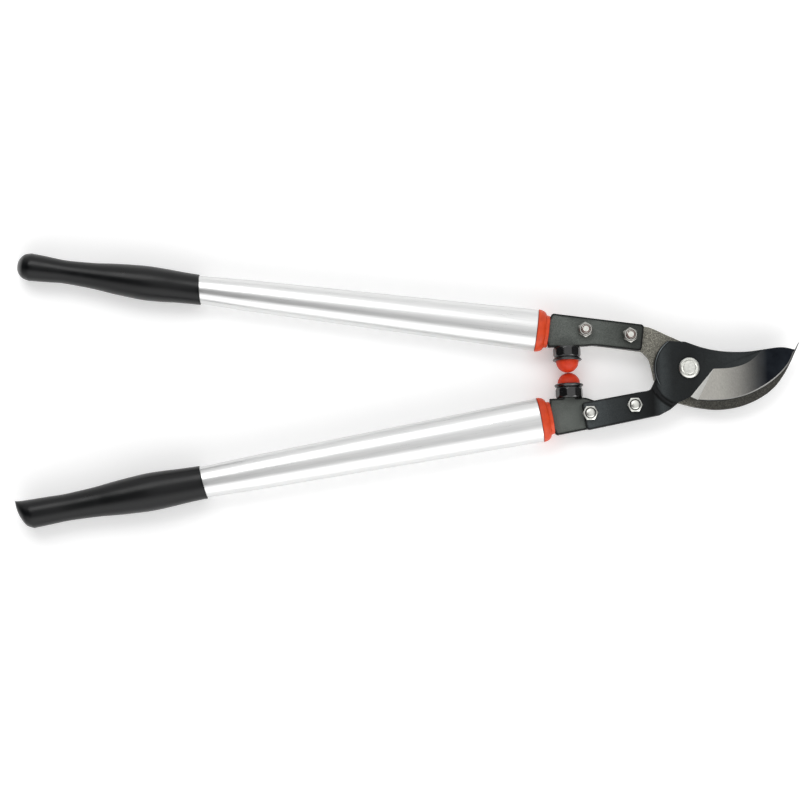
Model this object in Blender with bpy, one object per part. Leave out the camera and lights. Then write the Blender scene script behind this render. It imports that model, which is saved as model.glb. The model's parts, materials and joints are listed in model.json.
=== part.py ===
"""Long-handled bypass loppers, closed, lying flat with the cutting blade on the upper side.

Frame: the origin is on the pivot axis, at the end of the pivot bolt that the tool rests on.
+X runs along the tool to the tip, +Y to the handle that carries the hook, +Z up through the pivot.
Everything is in metres.
"""

import math

import bmesh
import bpy
from mathutils import Matrix, Vector

# Fits
GAP = 0.0003  # between two faces that touch
CLEARANCE = 0.0003  # round a shank, a tongue or a tube end

# Handles: where their axes run, and how long they are
HANDLE_ANGLE = math.radians(8.73)  # each axis to the tool's own centre line
AXIS_OFFSET = {"upper": 0.0200, "lower": 0.0228}  # axis to pivot, across the tool
MOUTH = 0.1464  # pivot to the mouth of a tube, along the handle
HANDLE_LENGTH = 0.6540  # pivot to the butt
GRIP_LENGTH = 0.1795
GRIP_START = HANDLE_LENGTH - GRIP_LENGTH

# Tubes: width lies in the tool's plane, depth goes up through it
TUBE_WALL = 0.0015
TUBE_FRONT_WIDTH = {"upper": 0.0406, "lower": 0.0427}
TUBE_NECK_WIDTH = {"upper": 0.0306, "lower": 0.0333}
TUBE_GRIP_WIDTH = {"upper": 0.0268, "lower": 0.0300}
TUBE_FRONT_DEPTH = 0.0315
TUBE_NECK_DEPTH = 0.0275
TUBE_GRIP_DEPTH = 0.0255
TUBE_NECK_LENGTH = 0.050  # the last taper ahead of a grip
TUBE_END_DIAMETER = 0.0170  # swaged end inside a grip
TUBE_END_LENGTH = 0.112  # how far the tube goes into a grip

# Grips
GRIP_LIP = 0.0011  # skin of a grip where it meets the tube
GRIP_SWELL_WIDTH = {"upper": 0.0335, "lower": 0.0366}
GRIP_SWELL_DEPTH = 0.0350
GRIP_WAIST_WIDTH = {"upper": 0.0222, "lower": 0.0258}
GRIP_WAIST_DEPTH = 0.0240
GRIP_BUTT_WIDTH = {"upper": 0.0268, "lower": 0.0276}
GRIP_BUTT_DEPTH = 0.0270
GRIP_SWELL_FROM_BUTT = 0.128
GRIP_WAIST_FROM_BUTT = 0.050
GRIP_BUTT_DOME = 0.0140
GRIP_BOW = {"upper": 0.0020, "lower": 0.0}  # the butt bends outwards by this much
GRIP_FRONT_SLANT = {"upper": 0.0028, "lower": 0.0016}  # the lip's lower side is further forward
# Where the butt's dome peaks, as shares of its half width inwards and half depth upwards
BUTT_PEAK = {"upper": (-0.1, -0.7), "lower": (1.1, 0.0)}

# Collars and the inserts behind them
COLLAR_LENGTH = 0.0115
COLLAR_PROUD = 0.0003
COLLAR_NECK_WIDTH = 0.0310
COLLAR_NECK_LENGTH = 0.0032
COLLAR_WALL = 0.0008  # plastic left over the corners of the strap's tongue
INSERT_LENGTH = 0.040
TONGUE_WIDTH = 0.0240
TONGUE_LENGTH = 0.036

# Plates of the head
STRAP_THICKNESS = 0.0060
HOOK_THICKNESS = 0.0060
BLADE_THICKNESS = 0.0062
TANG_STEP = 0.0012  # the tang lies this much below the disc
EDGE_LAND = 0.0006  # height of the blade at its cutting edge
BLADE_REACH = 0.1050  # pivot to the tip of the blade
DISC_RADIUS = 0.0335
TANG_END = 0.1078  # pivot to the end of a tang, along the handle
STRAP_END = 0.0440  # pivot to the inner end of a strap, along the handle

# Bumpers
BUMPER_STATION = {"upper": -0.1164, "lower": -0.1152}
BUMPER_CLEAR = 0.00025  # lowest point of a cup above the surface that the tool lies on
BUMPER_SEAT = 0.0247  # centre line of the tool to a strap's seat
CUP_LIP = 0.0108  # centre line of the tool to a cup's lip
CUP_LIP_DIAMETER = 0.0282
CUP_BODY_DIAMETER = 0.0262
CUP_BASE_DIAMETER = 0.0244
CUP_FOOT = 0.0016  # height of the bevel at a cup's base
CUP_FLANGE = 0.0028
CUP_FLANGE_CHAMFER = 0.0008
CUP_GROOVE = 0.0017
CUP_GROOVE_DEPTH = 0.0006
DOME_DIAMETER = 0.0218
DOME_STUB = 0.0060
LUG_WIDTH = 0.0110
LUG_HEIGHT = 0.0055

# Fasteners
BOLT_DIAMETER = 0.0080
HEX_OVER_BOLT = 0.0050
HEX_ACROSS_FLATS = BOLT_DIAMETER + HEX_OVER_BOLT
BOLT_STATIONS = {"upper": (0.0568, 0.1002), "lower": (0.0548, 0.0984)}  # along the handle
BOLT_ACROSS = {"upper": 0.0048, "lower": 0.0030}  # a bolt outwards of the handle's axis
BOLT_HEAD_HEIGHT = 0.0053
HEAD_CROWN = 0.0007  # from the hexagon's top edge up to the top of the domed centre
HEAD_DOME = 0.0003
HEAD_SHOULDER = 0.0009
HEAD_DOME_RUN = 0.0016
THREAD_CHAMFER = 0.0007
NUT_HEX_HEIGHT = 0.0055
NUT_HEIGHT = 0.0080
NUT_CHAMFER = 0.0006
NUT_SHOULDER = 0.0004
NUT_COLLAR_ROUND = 0.0008
NUT_COLLAR_LIP = 0.0003
THREAD_PROUD = 0.0012
RING_HEIGHT = 0.0016
RING_WALL = 0.0013

# Pivot
PIVOT_DIAMETER = 0.0120
PIVOT_THREAD_DIAMETER = 0.0100
PIVOT_FLATS = PIVOT_THREAD_DIAMETER  # the thread passes through the keyhole
PIVOT_HEAD_DIAMETER = 0.0200
PIVOT_HEAD_HEIGHT = 0.0048
PIVOT_HEAD_ROUND = 0.0012
PIVOT_HEX_OVER_THREAD = 0.0070
PIVOT_ACROSS_FLATS = PIVOT_THREAD_DIAMETER + PIVOT_HEX_OVER_THREAD
PIVOT_NUT_HEX_HEIGHT = 0.0060
PIVOT_NUT_HEIGHT = 0.0080
WASHER_DIAMETER = 0.0200
WASHER_THICKNESS = 0.0015

# Levels: the lower bumper, the pivot bolt's end and the grips all reach down to about Z = 0
MIDDLE = BUMPER_CLEAR + CUP_LIP_DIAMETER / 2 + STRAP_THICKNESS / 2 + GAP / 2  # blade and hook slide on it
ABOVE = MIDDLE + GAP / 2
BELOW = MIDDLE - GAP / 2

# Outlines of the plates, as distances from a handle's axis
STRAP_OUTER = {"upper": 0.0172, "lower": 0.0162}
STRAP_INNER = {"upper": 0.0085, "lower": 0.0082}
STRAP_FLARE = {"upper": 0.0002, "lower": 0.0012}  # how much wider a strap is at its collar
STRAP_CORNER = 0.0030
SEAT_MARGIN = 0.0010  # flat of the seat beyond the cup
SEAT_BLEND_START = 0.0880  # where the inner edge starts to bend to the bumper's seat
TANG_MARGIN = 0.0006
HOOK_NECK_LEAD = 0.0020  # the hook's outer edge leaves the tang this far past the strap's end
TANG_NECK = 0.0520
TANG_NECK_LEAD = 0.0160  # the tang's outer edge meets the slope this far past its inner neck
TANG_END_INNER = 0.0086
TANG_END_OUTER = 0.0184
TANG_NECK_INNER = 0.0088
TANG_NECK_OUTER = 0.0168
STEP_EDGE = 0.0006  # the slope starts this far outside the disc
STEP_RUN = 0.0100  # run of the slope from the disc down to the tang
THROAT_FILLET = 0.0014
THROAT_ACROSS = -0.0146
HOOK_RIM = 0.0005  # the hook shows this much round the disc

# Stretches of arcs round the pivot, in degrees from +X
DISC_ARC = (125, 190)
STEP_TOP_ARC = (196, 252)
STEP_FOOT_ARC = (207, 244)
HOOK_RIM_ARC = (190, 250)

# Outlines of the jaws, as shares of the blade's reach along the tool and across it
BLADE_TIP = (1.0, 0.1505)
BLADE_SPINE = ((0.55, 0.139), (0.40, 0.141), (0.26, 0.158), (0.12, 0.194), (-0.02, 0.248))
SPINE_CREST = (0.87, 0.1733)
CUTTING_EDGE = (
    (0.080, -0.288), (0.20, -0.298), (0.38, -0.2915), (0.57, -0.244), (0.77, -0.138), (0.92, 0.0)
)
GROUND_LINE = ((0.225, -0.0133), (0.40, -0.0057), (0.55, 0.040), (0.695, 0.1543))
HOOK_TIP = (1.043, 0.221)
HOOK_ARM = (
    (0.05, -0.352), (0.25, -0.381), (0.46, -0.360), (0.65, -0.2895), (0.80, -0.181), (0.92, -0.019)
)
HOOK_JAW = (
    (0.985, 0.105), (0.88, -0.019), (0.72, -0.133), (0.50, -0.2095), (0.32, -0.2333), (0.215, -0.1905)
)
HEEL = (0.0004, -0.0278)  # where the cutting edge starts, in metres

# The hook's outline near the pivot, in metres: the throat, and the back hidden under the disc
HOOK_THROAT = ((-0.0375, 0.0120), (-0.0347, 0.0020))
HOOK_BACK = ((0.0225, 0.0060), (0.0125, 0.0180), (-0.0080, 0.0285), (-0.0210, 0.0347))

# How far cutters reach past what they cut
HOLE_DEPTH = 0.020
OVERSHOOT = 0.001

SIDES = 24  # points round a turned or oval piece
GRIP_STEPS = 3  # rings to each swell or hollow of a grip
INWARD = {"upper": -1.0, "lower": 1.0}  # direction along Y from a handle to the centre line

COLOURS = {
    "phosphated steel": ((0.095, 0.105, 0.098), 0.45, 0.75),
    "blackened blade steel": ((0.045, 0.050, 0.052), 0.42, 0.75),
    "forged steel": ((0.150, 0.140, 0.120), 0.70, 0.60),
    "zinc plated steel": ((0.640, 0.630, 0.600), 0.30, 1.00),
    "brushed aluminium": ((0.640, 0.640, 0.640), 0.35, 1.00),
    "black rubber": ((0.012, 0.013, 0.015), 0.50, 0.00),
    "black plastic": ((0.010, 0.010, 0.011), 0.25, 0.00),
    "red plastic": ((0.560, 0.060, 0.022), 0.40, 0.00),
    "red elastomer": ((0.580, 0.050, 0.020), 0.45, 0.00),
    "natural nylon": ((0.500, 0.480, 0.430), 0.55, 0.00),
    "nylon locking ring": ((0.180, 0.040, 0.020), 0.55, 0.00),
}


# --- scene helpers -------------------------------------------------------------------------

def clear_scene():
    for obj in list(bpy.data.objects):
        bpy.data.objects.remove(obj, do_unlink=True)


def make_material(name, finish):
    colour, roughness, metallic = COLOURS[finish]
    material = bpy.data.materials.new(name + "_finish")
    material.use_nodes = True
    shader = material.node_tree.nodes["Principled BSDF"]
    shader.inputs["Base Color"].default_value = (*colour, 1.0)
    shader.inputs["Roughness"].default_value = roughness
    shader.inputs["Metallic"].default_value = metallic
    material.diffuse_color = (*colour, 1.0)
    return material


def make_empty(name, parent=None):
    empty = bpy.data.objects.new(name, None)
    bpy.context.scene.collection.objects.link(empty)
    empty.parent = parent
    return empty


def make_object(name, mesh, finish, parent=None, place=None):
    """A piece: its mesh in its own frame, moved to its place under its parent."""
    piece = bpy.data.objects.new(name, mesh)
    bpy.context.scene.collection.objects.link(piece)
    piece.parent = parent
    if place is not None:
        piece.location = place.to_translation()
        piece.rotation_euler = place.to_euler()
    if finish:
        mesh.materials.append(make_material(name, finish))
    return piece


def make_mesh(name, bm, smooth=False):
    bmesh.ops.recalc_face_normals(bm, faces=bm.faces)
    mesh = bpy.data.meshes.new(name)
    bm.to_mesh(mesh)
    bm.free()
    if smooth:
        mesh.shade_smooth()
        mesh.set_sharp_from_angle(angle=math.radians(35))
    return mesh


def cut(piece, name, mesh, place=None):
    """Takes the cutter's shape out of the piece. The cutter is placed in the piece's parent frame."""
    cutter = make_object(name, mesh, None, piece.parent, place)
    cutter.hide_render = True
    cutter.display_type = "WIRE"
    boolean = piece.modifiers.new(name, "BOOLEAN")
    boolean.object = cutter
    boolean.operation = "DIFFERENCE"


# --- outlines ------------------------------------------------------------------------------

def arc(centre, radius, start, end, steps):
    """Points on an arc, with the angles in degrees from +X."""
    angles = [math.radians(start + (end - start) * i / steps) for i in range(steps + 1)]
    return [(centre[0] + radius * math.cos(a), centre[1] + radius * math.sin(a)) for a in angles]


def curve(points, steps=3):
    """A smooth curve through the points, from the first to the last."""
    points = [Vector(p) for p in points]
    ends = [2 * points[0] - points[1], *points, 2 * points[-1] - points[-2]]
    drawn = []
    for a, b, c, d in zip(ends, ends[1:], ends[2:], ends[3:]):
        for i in range(steps):
            t = i / steps
            p = b + (c - a) * t / 2 + (2 * a - 5 * b + 4 * c - d) * t**2 / 2
            drawn.append(tuple(p + (3 * b - 3 * c + d - a) * t**3 / 2))
    drawn.append(tuple(points[-1]))
    return drawn


def rounded(before, corner, after, radius, steps=3):
    """The arc that rounds off a corner between two straight edges."""
    before, corner, after = Vector(before), Vector(corner), Vector(after)
    to_before = (before - corner).normalized()
    to_after = (after - corner).normalized()
    half = to_before.angle(to_after) / 2
    centre = corner + (to_before + to_after).normalized() * radius / math.sin(half)
    first = corner + to_before * radius / math.tan(half) - centre
    turn = first.angle_signed(corner + to_after * radius / math.tan(half) - centre)
    spokes = [Matrix.Rotation(-turn * i / steps, 2) @ first for i in range(steps + 1)]
    return [tuple(centre + spoke) for spoke in spokes]


def on_handle(side, along, outward):
    """A point of the tool's plane, from its place along a handle and outwards of its axis."""
    away = -INWARD[side]
    x = -along * math.cos(HANDLE_ANGLE) + outward * math.sin(HANDLE_ANGLE)
    y = AXIS_OFFSET[side] + along * math.sin(HANDLE_ANGLE) + outward * math.cos(HANDLE_ANGLE)
    return x, away * y


def handle_place(side, along=0.0, level=MIDDLE):
    """The frame of a handle: X runs along its axis to the butt, Z is up."""
    x, y = on_handle(side, along, 0.0)
    turn = math.pi + INWARD[side] * HANDLE_ANGLE
    return Matrix.Translation((x, y, level)) @ Matrix.Rotation(turn, 4, "Z")


# --- solids --------------------------------------------------------------------------------

def plate_mesh(name, outline, bottom, top):
    bm = bmesh.new()
    face = bm.faces.new([bm.verts.new((x, y, bottom)) for x, y in outline])
    raised = bmesh.ops.extrude_face_region(bm, geom=[face])["geom"]
    moved = [v for v in raised if isinstance(v, bmesh.types.BMVert)]
    bmesh.ops.translate(bm, verts=moved, vec=(0, 0, top - bottom))
    return make_mesh(name, bm)


def skin_rings(name, rings, hollow=False, smooth=True):
    """A solid skinned over rings of points: capped at both ends, or closed through a bore."""
    bm = bmesh.new()
    loops = [[bm.verts.new(p) for p in ring] for ring in rings]
    pairs = list(zip(loops, loops[1:]))
    if hollow:
        pairs.append((loops[-1], loops[0]))
    else:
        bm.faces.new(loops[0])
        bm.faces.new(loops[-1])
    count = len(loops[0])
    for first, second in pairs:
        for i in range(count):
            j = (i + 1) % count
            bm.faces.new((first[i], first[j], second[j], second[i]))
    return make_mesh(name, bm, smooth)


def oval_ring(along, width, depth, centre=(0.0, 0.0)):
    """An oval across the X axis: width lies along Y, depth along Z."""
    angles = [math.tau * i / SIDES for i in range(SIDES)]
    return [
        (along, centre[0] + width / 2 * math.cos(a), centre[1] + depth / 2 * math.sin(a))
        for a in angles
    ]


def slanted(ring, slant):
    """The ring leant over, so that its +Y side moves forward, against X."""
    return [(x - slant * y, y, z) for x, y, z in ring]


def round_ring(height, diameter, flats=None):
    """A circle about the Z axis, cut back to two flats where they are given."""
    ring = []
    for i in range(SIDES):
        angle = math.tau * i / SIDES
        across = diameter / 2 * math.sin(angle)
        if flats:
            across = max(-flats / 2, min(flats / 2, across))
        ring.append((diameter / 2 * math.cos(angle), across, height))
    return ring


def hex_ring(height, across_flats):
    """A hexagon about the Z axis, with as many points as a circle has."""
    ring = []
    for i in range(SIDES):
        angle = math.tau * i / SIDES
        from_flat = (angle % (math.pi / 3)) - math.pi / 6
        radius = across_flats / 2 / math.cos(from_flat)
        ring.append((radius * math.cos(angle), radius * math.sin(angle), height))
    return ring


def cylinder_mesh(name, diameter, bottom, top, flats=None):
    rings = [round_ring(bottom, diameter, flats), round_ring(top, diameter, flats)]
    return skin_rings(name, rings)


def block_mesh(name, low, high):
    outline = [(low[0], low[1]), (high[0], low[1]), (high[0], high[1]), (low[0], high[1])]
    return plate_mesh(name, outline, low[2], high[2])


# --- handles -------------------------------------------------------------------------------

def tube_sections(side):
    """Width and depth of a tube's outside, by distance from the pivot along the handle."""
    neck = GRIP_START - TUBE_NECK_LENGTH
    swaged = GRIP_START + TUBE_END_LENGTH / 2
    return [
        (MOUTH, TUBE_FRONT_WIDTH[side], TUBE_FRONT_DEPTH),
        (neck, TUBE_NECK_WIDTH[side], TUBE_NECK_DEPTH),
        (GRIP_START, TUBE_GRIP_WIDTH[side], TUBE_GRIP_DEPTH),
        (swaged, TUBE_END_DIAMETER, TUBE_END_DIAMETER),
        (GRIP_START + TUBE_END_LENGTH, TUBE_END_DIAMETER, TUBE_END_DIAMETER),
    ]


def tube(side, parent):
    outside = [oval_ring(a, w, d) for a, w, d in tube_sections(side)]
    inside = [
        oval_ring(a, w - 2 * TUBE_WALL, d - 2 * TUBE_WALL) for a, w, d in tube_sections(side)
    ]
    mesh = skin_rings(f"{side}_tube", outside + inside[::-1], hollow=True)
    return make_object(f"{side}_tube", mesh, "brushed aluminium", parent, handle_place(side))


def butt_bow(side):
    """How far the butt's middle stands off the handle's axis, along Y of the handle."""
    return INWARD[side] * GRIP_BOW[side]


def grip_sections(side):
    """Width and depth of a grip's outside, from its front to the start of the butt's dome."""
    swell = HANDLE_LENGTH - GRIP_SWELL_FROM_BUTT
    waist = HANDLE_LENGTH - GRIP_WAIST_FROM_BUTT
    front_width = TUBE_GRIP_WIDTH[side] + 2 * GRIP_LIP
    front_depth = TUBE_GRIP_DEPTH + 2 * GRIP_LIP
    keys = [
        (GRIP_START, front_width, front_depth),
        (swell, GRIP_SWELL_WIDTH[side], GRIP_SWELL_DEPTH),
        (waist, GRIP_WAIST_WIDTH[side], GRIP_WAIST_DEPTH),
        (HANDLE_LENGTH - GRIP_BUTT_DOME, GRIP_BUTT_WIDTH[side], GRIP_BUTT_DEPTH),
    ]
    sections = []
    for (start, *first), (end, *last) in zip(keys, keys[1:]):
        for i in range(GRIP_STEPS):
            t = i / GRIP_STEPS
            blend = (1 - math.cos(math.pi * t)) / 2
            sizes = [a + (b - a) * blend for a, b in zip(first, last)]
            sections.append((start + (end - start) * t, *sizes))
    return [*sections, keys[-1]]


def butt_dome(side):
    """The rings of the butt: the dome leans over towards its peak as it closes."""
    width, depth = GRIP_BUTT_WIDTH[side], GRIP_BUTT_DEPTH
    peak = (BUTT_PEAK[side][0] * width / 2, BUTT_PEAK[side][1] * depth / 2)
    rings = []
    for angle in (25, 50, 70, 85):
        share = math.cos(math.radians(angle))
        rise = GRIP_BUTT_DOME * math.sin(math.radians(angle))
        centre = (butt_bow(side) - INWARD[side] * peak[0] * (1 - share), peak[1] * (1 - share))
        start = HANDLE_LENGTH - GRIP_BUTT_DOME
        rings.append(oval_ring(start + rise, width * share, depth * share, centre))
    return rings


def grip(side, parent):
    """A soft sleeve, closed at the butt, with a bore that the end of the tube fills."""
    sections = grip_sections(side)
    bowed = sections[-1][0] - sections[GRIP_STEPS][0]
    outside = []
    for along, width, depth in sections[1:]:
        share = max(0.0, (along - sections[GRIP_STEPS][0]) / bowed)
        outside.append(oval_ring(along, width, depth, (butt_bow(side) * share, 0.0)))
    slant = GRIP_FRONT_SLANT[side] / (sections[0][1] / 2)
    outside.insert(0, slanted(oval_ring(*sections[0]), slant))
    outside += butt_dome(side)
    front, swaged, end = tube_sections(side)[2:]
    slack = 2 * CLEARANCE
    bore = [
        oval_ring(a, w + slack, d + slack)
        for a, w, d in (front, swaged, (end[0] + GAP, end[1], end[2]))
    ]
    bore[0] = slanted(bore[0], slant)
    mesh = skin_rings(f"{side}_grip", outside[::-1] + bore)
    return make_object(f"{side}_grip", mesh, "black rubber", parent, handle_place(side))


def tongue_cutter(side, name, start, end):
    """The slot that a strap's tongue needs, in the frame of the handle."""
    low, high = strap_levels(side)
    low_corner = (start, -TONGUE_WIDTH / 2 - CLEARANCE, low - MIDDLE - CLEARANCE)
    high_corner = (end, TONGUE_WIDTH / 2 + CLEARANCE, high - MIDDLE + CLEARANCE)
    return block_mesh(name, low_corner, high_corner)


def collar_neck_depth():
    """The oval of the neck clears the corners of the tongue's slot by the collar's wall."""
    slot_top = GAP / 2 + STRAP_THICKNESS + CLEARANCE
    corner = (TONGUE_WIDTH / 2 + CLEARANCE) / (COLLAR_NECK_WIDTH / 2)
    return 2 * (slot_top + COLLAR_WALL) / math.sqrt(1 - corner**2)


def collar(side, parent):
    """The ring that closes the tube's mouth, with a neck that hugs the strap."""
    width = TUBE_FRONT_WIDTH[side] + 2 * COLLAR_PROUD
    depth = TUBE_FRONT_DEPTH + 2 * COLLAR_PROUD
    body = COLLAR_LENGTH - COLLAR_NECK_LENGTH
    neck_depth = collar_neck_depth()
    rear = MOUTH - GAP
    rings = [oval_ring(rear, width, depth)]
    for angle in (15, 35, 55, 75, 90):
        bulge = math.cos(math.radians(angle))
        rings.append(
            oval_ring(
                rear - body * math.sin(math.radians(angle)),
                COLLAR_NECK_WIDTH + (width - COLLAR_NECK_WIDTH) * bulge,
                neck_depth + (depth - neck_depth) * bulge,
            )
        )
    rings.append(oval_ring(rear - COLLAR_LENGTH, COLLAR_NECK_WIDTH, neck_depth))
    name = f"{side}_collar"
    place = handle_place(side)
    piece = make_object(name, skin_rings(name, rings), "red plastic", parent, place)
    slot = tongue_cutter(side, name + "_slot", rear - 2 * COLLAR_LENGTH, MOUTH + GAP)
    cut(piece, name + "_slot", slot, place)
    return piece


def insert(side, parent):
    """The moulded filler that wedges the strap's tongue in the mouth of the tube."""
    front, neck = tube_sections(side)[:2]
    share = INSERT_LENGTH / (neck[0] - front[0])
    shrink = 2 * (TUBE_WALL + CLEARANCE)
    rings = []
    for t in (0.0, share):
        width = front[1] + (neck[1] - front[1]) * t
        depth = front[2] + (neck[2] - front[2]) * t
        rings.append(oval_ring(front[0] + (neck[0] - front[0]) * t, width - shrink, depth - shrink))
    name = f"{side}_insert"
    place = handle_place(side)
    piece = make_object(name, skin_rings(name, rings), "natural nylon", parent, place)
    slot = tongue_cutter(side, name + "_slot", MOUTH - GAP, MOUTH + INSERT_LENGTH + GAP)
    cut(piece, name + "_slot", slot, place)
    return piece


# --- straps and bumpers --------------------------------------------------------------------

def strap_levels(side):
    """The upper strap lies on the hook's tang, the lower strap under the blade's."""
    if side == "upper":
        return ABOVE, ABOVE + STRAP_THICKNESS
    return BELOW - STRAP_THICKNESS, BELOW


def strap_outline(side):
    """A flat bar: a bolted end, a seat for the bumper with its lug, and a tongue for the collar."""
    toward = INWARD[side]
    seat = -toward * BUMPER_SEAT
    lug = -toward * (BUMPER_SEAT - LUG_HEIGHT)
    front = MOUTH - GAP - COLLAR_LENGTH - GAP
    tongue_end = MOUTH + TONGUE_LENGTH
    half = TONGUE_WIDTH / 2
    outer, inner = STRAP_OUTER[side], STRAP_INNER[side]
    end_outer = on_handle(side, STRAP_END, outer)
    end_inner = on_handle(side, STRAP_END, -inner)
    shoulder_outer = on_handle(side, front, outer + STRAP_FLARE[side])
    shoulder_inner = (on_handle(side, front, -half)[0], seat)
    station = BUMPER_STATION[side]
    points = [
        *rounded(on_handle(side, TANG_END, outer), end_outer, end_inner, STRAP_CORNER),
        *rounded(end_outer, end_inner, on_handle(side, TANG_END, -inner), STRAP_CORNER),
        on_handle(side, SEAT_BLEND_START, -inner),
        (station + CUP_LIP_DIAMETER / 2 + SEAT_MARGIN, seat),
        (station + LUG_WIDTH / 2, seat),
        (station + LUG_WIDTH / 2, lug),
        (station - LUG_WIDTH / 2, lug),
        (station - LUG_WIDTH / 2, seat),
        shoulder_inner,
        on_handle(side, front, -half),
        on_handle(side, tongue_end, -half),
        on_handle(side, tongue_end, half),
        on_handle(side, front, half),
        *rounded(on_handle(side, front, half), shoulder_outer, end_outer, STRAP_CORNER),
    ]
    return points


def strap(side, parent):
    name = f"{side}_strap"
    mesh = plate_mesh(name, strap_outline(side), *strap_levels(side))
    piece = make_object(name, mesh, "phosphated steel", parent)
    drill_for_bolts(piece, side)
    return piece


def bumper_place(side):
    """The frame of a bumper: Z runs along its axis to the centre line of the tool."""
    low, high = strap_levels(side)
    turn = Matrix.Rotation(-INWARD[side] * math.pi / 2, 4, "X")
    return Matrix.Translation((BUMPER_STATION[side], 0.0, (low + high) / 2)) @ turn


def bumper_cup(side, parent):
    """The housing that plugs onto a strap's lug. Its Z is measured from the centre line, negative."""
    bore = DOME_DIAMETER + 2 * CLEARANCE
    floor = -CUP_LIP - DOME_STUB - GAP
    base = -BUMPER_SEAT + GAP
    flange = -CUP_LIP - CUP_FLANGE
    profile = [
        (base, CUP_BASE_DIAMETER),
        (base + CUP_FOOT, CUP_BODY_DIAMETER),
        (flange - CUP_GROOVE, CUP_BODY_DIAMETER),
        (flange - CUP_GROOVE / 2, CUP_BODY_DIAMETER - 2 * CUP_GROOVE_DEPTH),
        (flange, CUP_LIP_DIAMETER),
        (-CUP_LIP - CUP_FLANGE_CHAMFER, CUP_LIP_DIAMETER),
        (-CUP_LIP, CUP_LIP_DIAMETER - 2 * CUP_FLANGE_CHAMFER),
        (-CUP_LIP, bore),
        (floor, bore),
    ]
    name = f"{side}_bumper_cup"
    mesh = skin_rings(name, [round_ring(z, diameter) for z, diameter in profile])
    place = bumper_place(side)
    piece = make_object(name, mesh, "black plastic", parent, place)
    half_width = LUG_WIDTH / 2 + CLEARANCE
    half_height = STRAP_THICKNESS / 2 + CLEARANCE
    low = (-half_width, -half_height, base - OVERSHOOT)
    high = (half_width, half_height, -BUMPER_SEAT + LUG_HEIGHT + GAP)
    cut(piece, name + "_slot", block_mesh(name + "_slot", low, high), place)
    return piece


def bumper_dome(side, parent):
    """A round rubber button whose stub sits in the cup. The two domes all but touch when closed."""
    offset = (GAP + STRAP_THICKNESS) / 2
    radius = DOME_DIAMETER / 2
    reach = math.sqrt((radius + GAP / 2) ** 2 - offset**2)
    rings = [round_ring(-CUP_LIP - DOME_STUB, DOME_DIAMETER)]
    for angle in (0, 15, 30, 45, 60, 75, 87):
        height = radius * math.sin(math.radians(angle)) - reach
        rings.append(round_ring(height, DOME_DIAMETER * math.cos(math.radians(angle))))
    name = f"{side}_bumper_dome"
    return make_object(name, skin_rings(name, rings), "red elastomer", parent, bumper_place(side))


# --- hook and blade ------------------------------------------------------------------------

def jaw_points(shares):
    """Points of the jaws, which keep their proportions when the blade's reach changes."""
    return [(along * BLADE_REACH, across * BLADE_REACH) for along, across in shares]


def hook_outline():
    """The counter blade, from its tang round the pivot to the curved arm and back."""
    outer, inner = STRAP_OUTER["upper"] - TANG_MARGIN, STRAP_INNER["upper"] - TANG_MARGIN
    tang_outer = on_handle("upper", TANG_END, outer)
    tang_inner = on_handle("upper", TANG_END, -inner)
    neck_inner = on_handle("upper", STRAP_END, -inner)
    neck_outer = on_handle("upper", STRAP_END - HOOK_NECK_LEAD, outer)
    arm = jaw_points([*HOOK_ARM, HOOK_TIP])
    jaw = jaw_points(HOOK_JAW)
    return [
        *rounded(neck_outer, tang_outer, tang_inner, STRAP_CORNER),
        *rounded(tang_outer, tang_inner, neck_inner, STRAP_CORNER),
        *curve([neck_inner, *HOOK_THROAT]),
        *arc((0, 0), DISC_RADIUS + HOOK_RIM, *HOOK_RIM_ARC, 6),
        *curve(arm),
        *curve([*jaw, *HOOK_BACK, neck_outer]),
    ]


def hook(parent):
    mesh = plate_mesh("hook_blade", hook_outline(), BELOW - HOOK_THICKNESS, BELOW)
    piece = make_object("hook_blade", mesh, "forged steel", parent)
    drill_for_bolts(piece, "upper")
    hole = PIVOT_DIAMETER + 2 * CLEARANCE
    flats = PIVOT_FLATS + 2 * CLEARANCE
    keyhole = cylinder_mesh("keyhole", hole, MIDDLE - 2 * HOOK_THICKNESS, MIDDLE + GAP, flats)
    cut(piece, "keyhole", keyhole)
    return piece


def blade_tang():
    """The tang's outline, from the throat round its end to the foot of the disc."""
    end_inner = on_handle("lower", TANG_END, -TANG_END_INNER)
    end_outer = on_handle("lower", TANG_END, TANG_END_OUTER)
    neck_inner = on_handle("lower", TANG_NECK, -TANG_NECK_INNER)
    neck_outer = on_handle("lower", TANG_NECK - TANG_NECK_LEAD, TANG_NECK_OUTER)
    return [
        neck_inner,
        *rounded(neck_inner, end_inner, end_outer, STRAP_CORNER),
        *rounded(end_inner, end_outer, neck_outer, STRAP_CORNER),
        neck_outer,
    ]


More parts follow.
